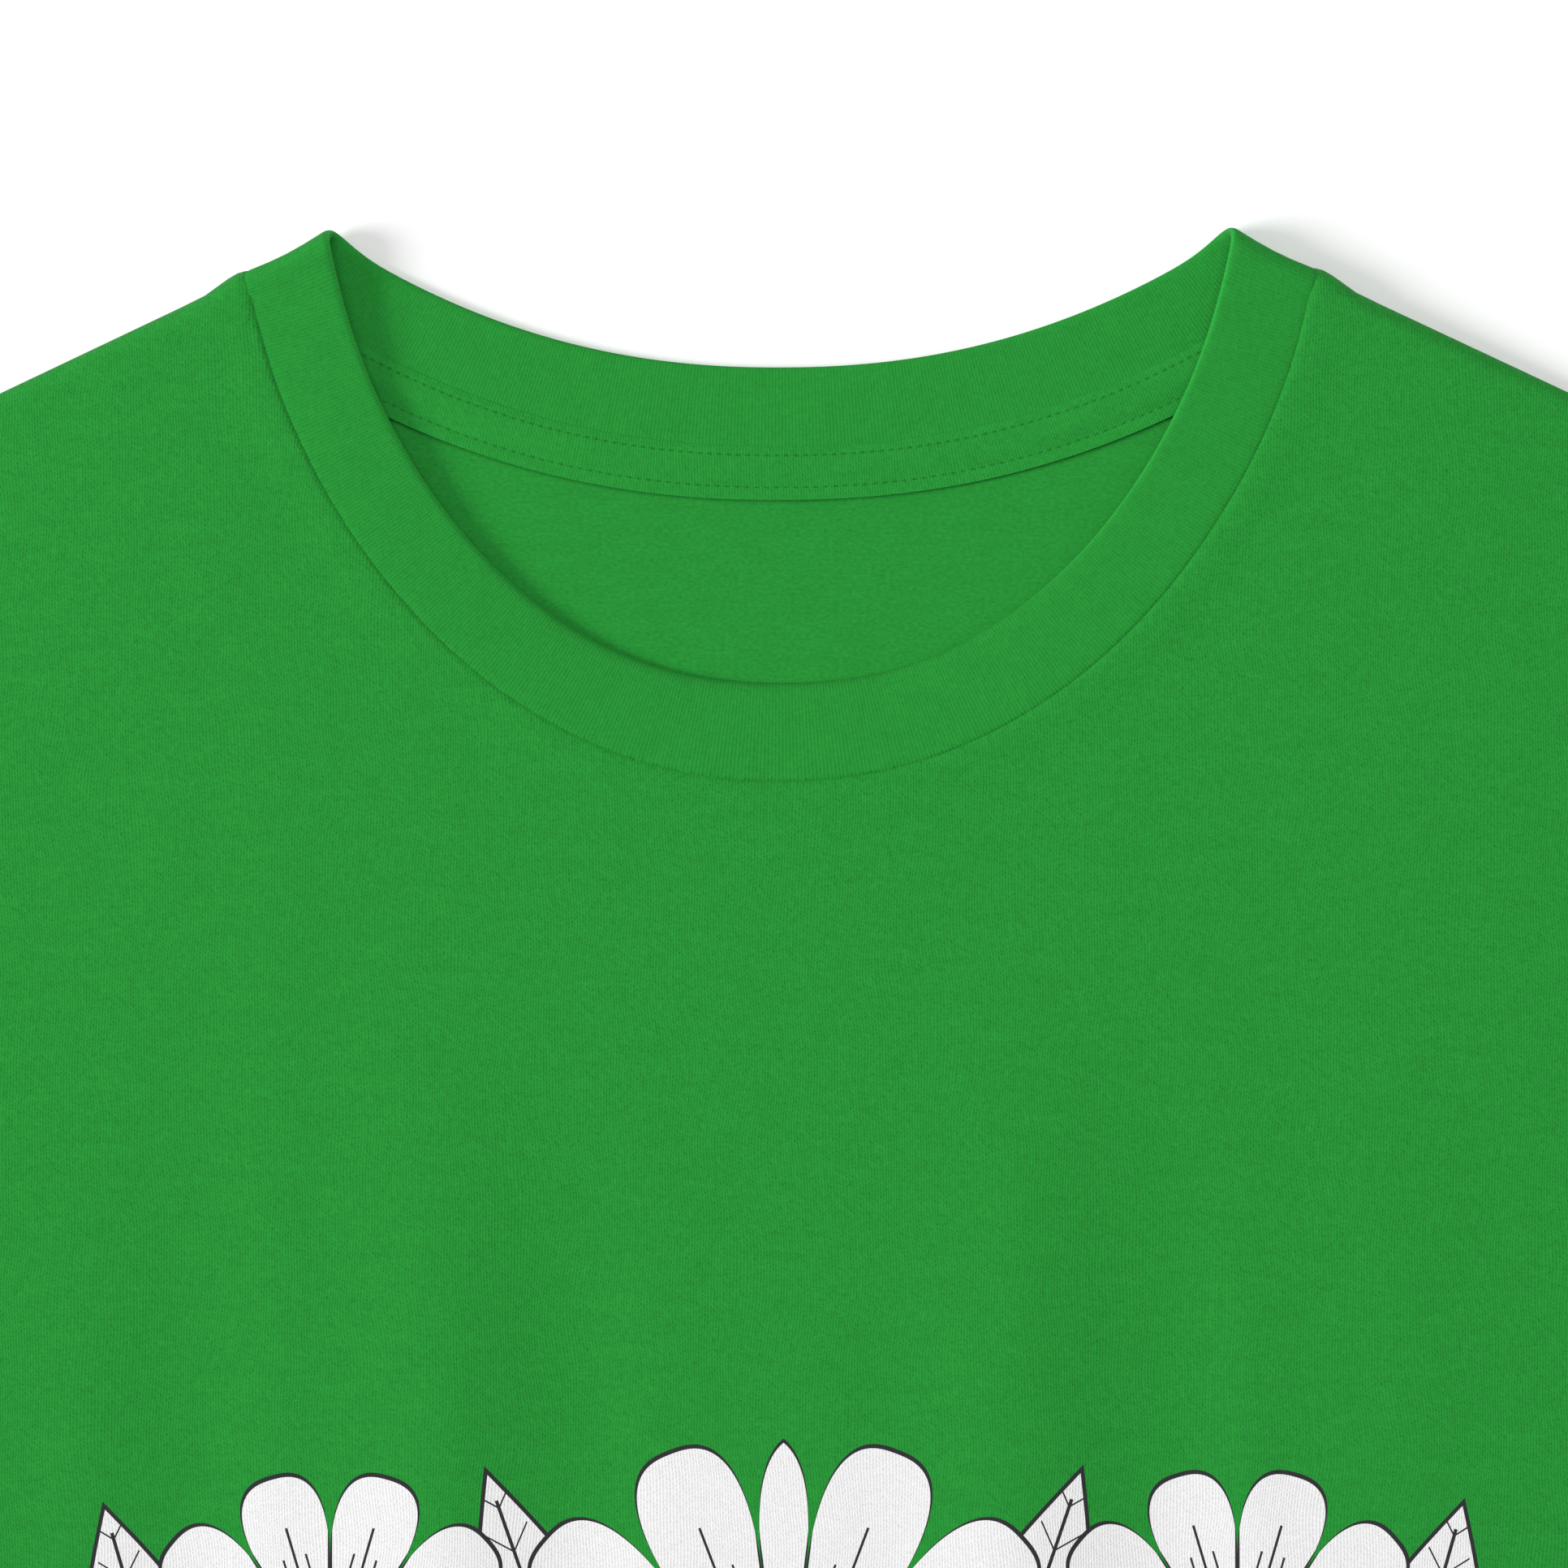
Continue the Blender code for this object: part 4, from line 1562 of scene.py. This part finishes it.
    def build(self) -> bpy.types.Object:
        """Models the sleeve and its turned hem.

        Returns:
            The piece, on the frame.
        """
        length = self.cut.sleeve_length
        even = np.linspace(0.0, 1.0, self.rows + 1) ** self.row_bias * (1 - self.hem_steps[-1] / length)
        hem = 1.0 - np.array(self.hem_steps) / length
        rings, places = map(list, zip(*(self.ring(down) for down in (*even[:-1], *hem[::-1]))))
        wrist, wrist_place = rings[-1], places[-1]
        outward = np.array((math.cos(self.cut.wrist_lean), -math.sin(self.cut.wrist_lean), 0.0))
        inner = list(zip(rings, places))[-2::-1]
        for step in range(1, self.turn_steps + 1):
            angle = math.pi * step / self.turn_steps
            moved = self.turned(wrist, (1 - math.cos(angle)) / 2)
            rings.append(moved + self.turn_gap / 2 * math.sin(angle) * outward)
            places.append(wrist_place - (0.0, self.turn_cloth * step))
        for ring, place in inner:
            back = length + float(place[0, 1])
            if back <= self.cut.hem_depth + MILLIMETRE / 10:
                rings.append(self.turned(ring, 1.0))
                places.append(wrist_place - (0.0, back))
        points = np.array(rings) * (self.side.value, 1.0, 1.0)
        finishes = (Jersey(self.name + "_jersey"), Jersey(self.name + "_inside", Face.INSIDE))
        return self.lay(points, np.array(places), finishes, self.drape.cloth)

    def sewing(self) -> list[StitchRow]:
        """The rows of stitches on the upper side of the wrist.

        Returns:
            The rows.
        """
        rows = []
        for number, row in enumerate(self.hem_rows, 1):
            ring, _ = self.ring(1.0 - row / self.cut.sleeve_length)
            upper = ring[: len(self.upper_steps) * 2 + self.upper_columns - 1]
            end = float(run_of(upper)[-1]) - self.stitch_inset
            line = along(upper, np.linspace(self.stitch_inset, end, self.stitch_samples))
            line = line * (self.side.value, 1.0, 1.0) + (0.0, 0.0, self.drape.cloth / 2)
            rows.append(StitchRow(self.cut, f"wrist_stitches_{self.side.name.lower()}_{number}", line))
        return rows


# Collar


@dataclass
class Collar(Piece):
    """The neck rib: a ring of doubled rib, folded over at the neck points."""

    node: ClassVar[str] = "neck_rib"
    name: ClassVar[str] = "neck_rib_knit"
    slot: ClassVar[str] = "rib_knit"
    flat: ClassVar[tuple[float, float]] = (0.490, 0.0191)

    thickness: float = 0.0019
    rib: Rib = Rib()
    columns_per_rib: int = 4
    rib_depth: float = 0.00005
    lower_z: float = 0.0011
    fold_round: float = 0.0040
    crown: float = 0.0003
    edge_share: float = 0.07
    seam_share: float = 0.60
    turn_width: float = 0.009
    tuck: float = 0.00102
    tuck_share: float = 0.10
    tuck_from: float = 0.15
    tuck_end: float = 0.55
    fold_bow: float = 0.0007
    tip_round: float = 0.0052
    tip_lift: float = 0.0009
    tip_reach: float = 0.0080
    across: tuple[float, ...] = (0.0, 0.007, 0.02, 0.04, 0.07, 0.12, 0.30, 0.50, 0.70, 0.88, 0.95, 0.98, 1.0)

    def half(self, front: bool, share: Array) -> Array:
        """Middle of the rib on one half of the collar.

        Args:
            front: Whether it is the front half.
            share: Places from -1 at one neck point to 1 at the other.

        Returns:
            Points by place and, from the free edge to the seam, across the rib.
        """
        cut, drape = self.cut, self.drape
        lines = (cut.free_edge, cut.neck_seam) if front else (cut.back_free_edge, cut.back_neck_seam)
        ends = [line.points([-1.0, 1.0]) for line in lines]
        free = lines[0].points(share)
        seam = lines[1].points(self.opposite(free, lines[1], share))
        free_z = seam_z = np.full(len(share), self.lower_z)
        if front:
            free_z, seam_z = drape.neck_level(drape.free_z, share), drape.neck_level(drape.seam_z, share)
        low_part = (1 - ramp(np.abs(share), self.tuck_from, self.tuck_end)) * front
        columns = []
        for across in self.across:
            plan = free + across * (seam - free)
            level = free_z + across * (seam_z - free_z)
            level = level - self.tuck * (1 - ramp(across, 0.0, self.tuck_share)) * low_part
            fold_z = (1 - across) * (drape.free_z[1] + self.lower_z) / 2
            fold_z += across * (drape.seam_z[1] + self.lower_z) / 2
            run = from_ends(plan, ends[0] + across * (ends[1] - ends[0]))
            height = fold_z + (level - fold_z) * round_off(run / self.fold_round)
            plan[:, 1] -= self.fold_bow * math.sin(math.pi * across) * bump(run, self.tip_reach * 1.5)
            columns.append(with_height(plan, height))
        return np.array(columns).transpose(1, 0, 2)

    def opposite(self, free: Array, seam: FrontLine | BackLine, share: Array) -> Array:
        """Places on a seam that lie square across the band from places on its free edge.

        Args:
            free: Points of the free edge.
            seam: The seam's line.
            share: Their places, which the seam's own ones match at the neck points.

        Returns:
            The places on the seam.
        """
        _, at = nearest_on(free, seam.points(np.linspace(-1.0, 1.0, 801)))
        return share + (2 * at - 1 - share) * (1.0 - bump(from_ends(free, free), self.turn_width))

    def middle(self) -> Array:
        """Middle of the rib all round, with even steps along it and a whole number of ribs.

        Returns:
            Points by place along the ring and across it.
        """
        share = np.sin(np.linspace(-math.pi / 2, math.pi / 2, 1601))
        front, back = self.half(True, share), self.half(False, share)[::-1]
        back[0], back[-1] = front[-1], front[0]
        ring = np.concatenate((front, back[1:]))
        run = run_of(ring[:, len(self.across) // 2])
        ribs = round(run[-1] / self.rib.pitch)
        even = np.linspace(0.0, run[-1], ribs * self.columns_per_rib + 1)
        flat = ring.reshape(len(ring), -1)
        evened = np.stack([np.interp(even, run, flat[:, axis]) for axis in range(flat.shape[1])], -1)
        return self.with_round_tips(evened.reshape(len(even), len(self.across), 3))

    def with_round_tips(self, ring: Array) -> Array:
        """Rounds the corners that the ring's plan has where it folds over.

        Args:
            ring: Middle of the rib all round, which starts at one of the two corners.

        Returns:
            The ring with round corners, lifted a little up the plan.
        """
        step = self.rib.pitch / self.columns_per_rib
        reach = int(3 * self.tip_round / step)
        weights = bump(np.arange(-reach, reach + 1) * step, self.tip_round * math.sqrt(2))
        weights /= weights.sum()
        plan = ring[..., :2]
        wrapped = np.concatenate((plan[-reach - 1 : -1], plan, plan[1 : reach + 1]))
        smooth = sum(weight * wrapped[at : at + len(plan)] for at, weight in enumerate(weights))
        result = ring.copy()
        half = len(plan) // 2
        for tip in (0, int(plan[:, 0, 0].argmax())):
            gap = np.abs((np.arange(len(plan)) - tip + half) % (len(plan) - 1) - half) * step
            shift = smooth - plan + (plan[tip] - smooth[tip]) + (0.0, self.tip_lift)
            result[..., :2] += bump(gap, self.tip_reach)[:, None, None] * shift
        return result

    def half_thickness(self, places: int) -> Array:
        """Half the rib's thickness, with its ribs raised.

        Args:
            places: How many places lie along the ring.

        Returns:
            The half thickness by place along the ring and across it.
        """
        across = np.array(self.across)
        seam = self.seam_share + (1 - self.seam_share) * round_off((1.0 - across) / self.edge_share)
        edges = round_off(across / self.edge_share) * seam
        wave = 0.5 - 0.5 * np.cos(2 * math.pi * np.arange(places) / self.columns_per_rib)
        relief = self.rib_depth * (wave[:, None] - 1.0) * edges
        return np.maximum(self.thickness / 2 * edges + self.crown * across * (1 - across) + relief, 0.0)

    def build(self) -> bpy.types.Object:
        """Models the ring as a closed section all round the neck.

        Returns:
            The piece, on the frame.
        """
        middle = self.middle()
        along_ring = np.empty_like(middle)
        along_ring[1:-1] = middle[2:] - middle[:-2]
        along_ring[0] = along_ring[-1] = middle[1] - middle[-2]
        outward = np.cross(along_ring, np.gradient(middle, axis=1))
        outward /= np.linalg.norm(outward, axis=-1, keepdims=True)
        outward *= np.sign(outward[len(outward) // 4, len(self.across) // 2, 2])
        half = self.half_thickness(len(middle))[..., None]
        outer, inner = middle + outward * half, middle - outward * half
        section = np.concatenate((outer, inner[:, -2:0:-1], outer[:, :1]), axis=1)
        section[..., 2] = np.maximum(section[..., 2], 0.0)
        width = run_of(middle[len(middle) // 4])
        flat = np.concatenate((width, 2 * width[-1] - width[-2:0:-1], (2 * width[-1],)))
        length = np.linspace(0.0, (len(middle) - 1) / self.columns_per_rib * self.rib.pitch, len(middle))
        place = pair(length[:, None], flat[None])
        return self.lay(section.transpose(1, 0, 2), place.transpose(1, 0, 2), (self.rib,), 0.0)


# Neck tape


@dataclass
class NeckTape(Piece):
    """The jersey tape that covers the seam inside the back neck."""

    node: ClassVar[str] = "neck_tape"
    name: ClassVar[str] = "neck_tape_strip"
    slot: ClassVar[str] = "neck_tape"
    flat: ClassVar[tuple[float, float]] = (0.190, 0.0115)

    colour: Colour = (0.0193, 0.2690, 0.0350, 1.0)
    line: BackLine = BackLine(-0.0459, 0.0174, 0.0765, 2.2)
    width: float = 0.0100
    half_span: float = 0.0880
    cloth: float = 0.0008
    columns: int = 150
    over_rib_z: float = 0.00225
    over_back_z: float = 0.0018
    step_place: float = 0.0058
    step_half_width: float = 0.0015
    edge_press: float = 0.00045
    edge_press_width: float = 0.0009
    stitch_rows: tuple[float, float] = (0.0016, 0.0076)
    stitch_dip: float = 0.00012
    stitch_dip_width: float = 0.0006
    stitch_pitch: float = 0.00185
    stitch_inset: float = 0.0020
    stitch_size: tuple[float, float, float] = (0.0010, 0.00013, 0.00006)
    across: tuple[float, ...] = (
        0.0, 0.0003, 0.0008, 0.0012, 0.0016, 0.0020, 0.0026, 0.0036, 0.0046, 0.0054, 0.0062, 0.0068,
        0.0072, 0.0076, 0.0080, 0.0086, 0.0092, 0.0097, 0.0100,
    )

    def level(self, across: float) -> float:
        """Height of the tape's middle.

        Args:
            across: Distance from its upper edge.

        Returns:
            The height.
        """
        step = (self.step_place - self.step_half_width, self.step_place + self.step_half_width)
        height = self.over_rib_z + (self.over_back_z - self.over_rib_z) * ramp(across, *step)
        height = height - self.edge_press * bump(across, self.edge_press_width)
        for row in self.stitch_rows:
            height = height - self.stitch_dip * bump(across - row, self.stitch_dip_width)
        return height

    def points(self, across: Sequence[float]) -> Array:
        """Points of the tape's middle.

        Args:
            across: Distances from its upper edge.

        Returns:
            Points by distance from that edge and along it.
        """
        share = np.linspace(-1.0, 1.0, self.columns + 1) * self.half_span / self.line.half_width
        middle = self.line.points(share)
        return np.array([with_height(beside(middle, at - self.width / 2), self.level(at)) for at in across])

    def build(self) -> bpy.types.Object:
        """Models the tape.

        Returns:
            The piece, on the frame.
        """
        across = self.across[::-1]
        points = self.points(across)
        place = pair(run_of(points[len(across) // 2])[None], -np.array(across)[:, None])
        # needle holes with painted shade in them
        holes = NeedleRows(self.stitch_rows, self.stitch_pitch, self.stitch_inset)
        shades = {"colour": self.colour, "groove_shade": 0.05, "dot_shade": 0.06}
        return self.lay(points, place, (Jersey("tape_jersey", needle_rows=holes, **shades),), self.cloth)

    def sewing(self) -> list[StitchRow]:
        """The rows of stitches along the tape, one stitch beside each needle hole.

        Returns:
            The rows.
        """
        rows = []
        middle = self.points([self.width / 2])[0]
        for number, row in enumerate(self.stitch_rows, 1):
            line = self.points([row])[0] + (0.0, 0.0, self.cloth / 2)
            end = float(run_of(line)[-1])
            stretch = float(end / run_of(middle)[-1])
            inset = (self.stitch_inset + self.stitch_pitch / 2) * stretch
            line = along(line, np.linspace(inset, end - inset, self.columns))
            name, pitch = f"tape_stitches_{number}", self.stitch_pitch * stretch
            rows.append(StitchRow(self.cut, name, line, pitch, *self.stitch_size))
        return rows


# Studio


@dataclass(frozen=True)
class Lamp:
    """A round softbox that faces the middle of the view and stays out of sight itself."""

    name: str
    direction: tuple[float, float, float]
    distance: float
    size: float
    power: float

    def hang(self, target: tuple[float, float]) -> None:
        """Hangs the softbox in its direction from a point of the floor.

        Args:
            target: The point's x and y.
        """
        towards = np.array(self.direction) / np.linalg.norm(self.direction)
        place = np.array((*target, 0.0)) + towards * self.distance
        bpy.ops.object.light_add(type="AREA", location=tuple(place))
        lamp = bpy.context.object
        lamp.name = lamp.data.name = self.name
        lamp.data.shape = "DISK"
        lamp.data.size = self.size
        lamp.data.energy = self.power
        lamp.visible_camera = False
        lamp.rotation_euler = (math.acos(towards[2]), 0.0, math.atan2(towards[0], -towards[1]))


@dataclass
class Studio:
    """A pale floor, soft light from above and from the left, and a camera that looks down."""

    view_centre: tuple[float, float] = (0.0004, 0.2752)
    view_width: float = 0.2972
    camera_height: float = 1.60
    camera_roll: float = math.radians(-0.15)
    sensor: float = 36.0
    cloth_top: float = 0.0038
    floor_size: float = 24.0
    floor_z: float = -0.0002
    floor_colour: Colour = (0.97, 0.97, 0.97, 1.0)
    sky_colour: Colour = (1.0, 1.0, 1.0, 1.0)
    sky_strength: float = 0.29
    lamps: tuple[Lamp, ...] = (
        Lamp("side_softbox", (-0.866, -0.10, 0.50), 4.0, 1.8, 123.0),
        Lamp("overhead_softbox", (0.0, 0.28, 0.96), 2.4, 1.8, 30.0),
    )

    def build(self) -> None:
        """Makes the floor, the light and the camera."""
        self.lay_floor()
        self.light()
        self.aim_camera()

    def lay_floor(self) -> None:
        """Lays the pale floor under the shirt."""
        bpy.ops.object.select_all(action="DESELECT")
        bpy.ops.mesh.primitive_plane_add(size=self.floor_size, location=(0.0, 0.0, self.floor_z))
        floor = bpy.context.object
        floor.name = floor.data.name = "pale_floor"
        dress(floor, (Plain("pale_floor", self.floor_colour),))

    def light(self) -> None:
        """Fills the room with faint even light and hangs the lamps."""
        world = bpy.data.worlds.new("studio")
        world.use_nodes = True
        sky = world.node_tree.nodes["Background"]
        sky.inputs[0].default_value = self.sky_colour
        sky.inputs[1].default_value = self.sky_strength
        bpy.context.scene.world = world
        for lamp in self.lamps:
            lamp.hang(self.view_centre)
        bpy.context.scene.view_settings.view_transform = "Standard"

    def aim_camera(self) -> None:
        """Puts the camera straight above the neck."""
        place = (*self.view_centre, self.camera_height)
        bpy.ops.object.camera_add(location=place, rotation=(0.0, 0.0, self.camera_roll))
        camera = bpy.context.object
        camera.name = camera.data.name = "photo_camera"
        camera.data.sensor_width = self.sensor
        camera.data.lens = self.sensor * (self.camera_height - self.cloth_top) / self.view_width
        bpy.context.scene.camera = camera


def main() -> None:
    """Makes the shirt and its studio."""
    logging.basicConfig(level=logging.INFO, format="%(name)s: %(message)s")
    shirt = (Cut(), Drape(Cut()))
    sleeves = [Sleeve(*shirt, side) for side in Side]
    for piece in (FrontPanel(*shirt), BackPanel(*shirt), *sleeves, Collar(*shirt), NeckTape(*shirt)):
        piece.make()
    Studio().build()


if __name__ == "__main__":
    main()
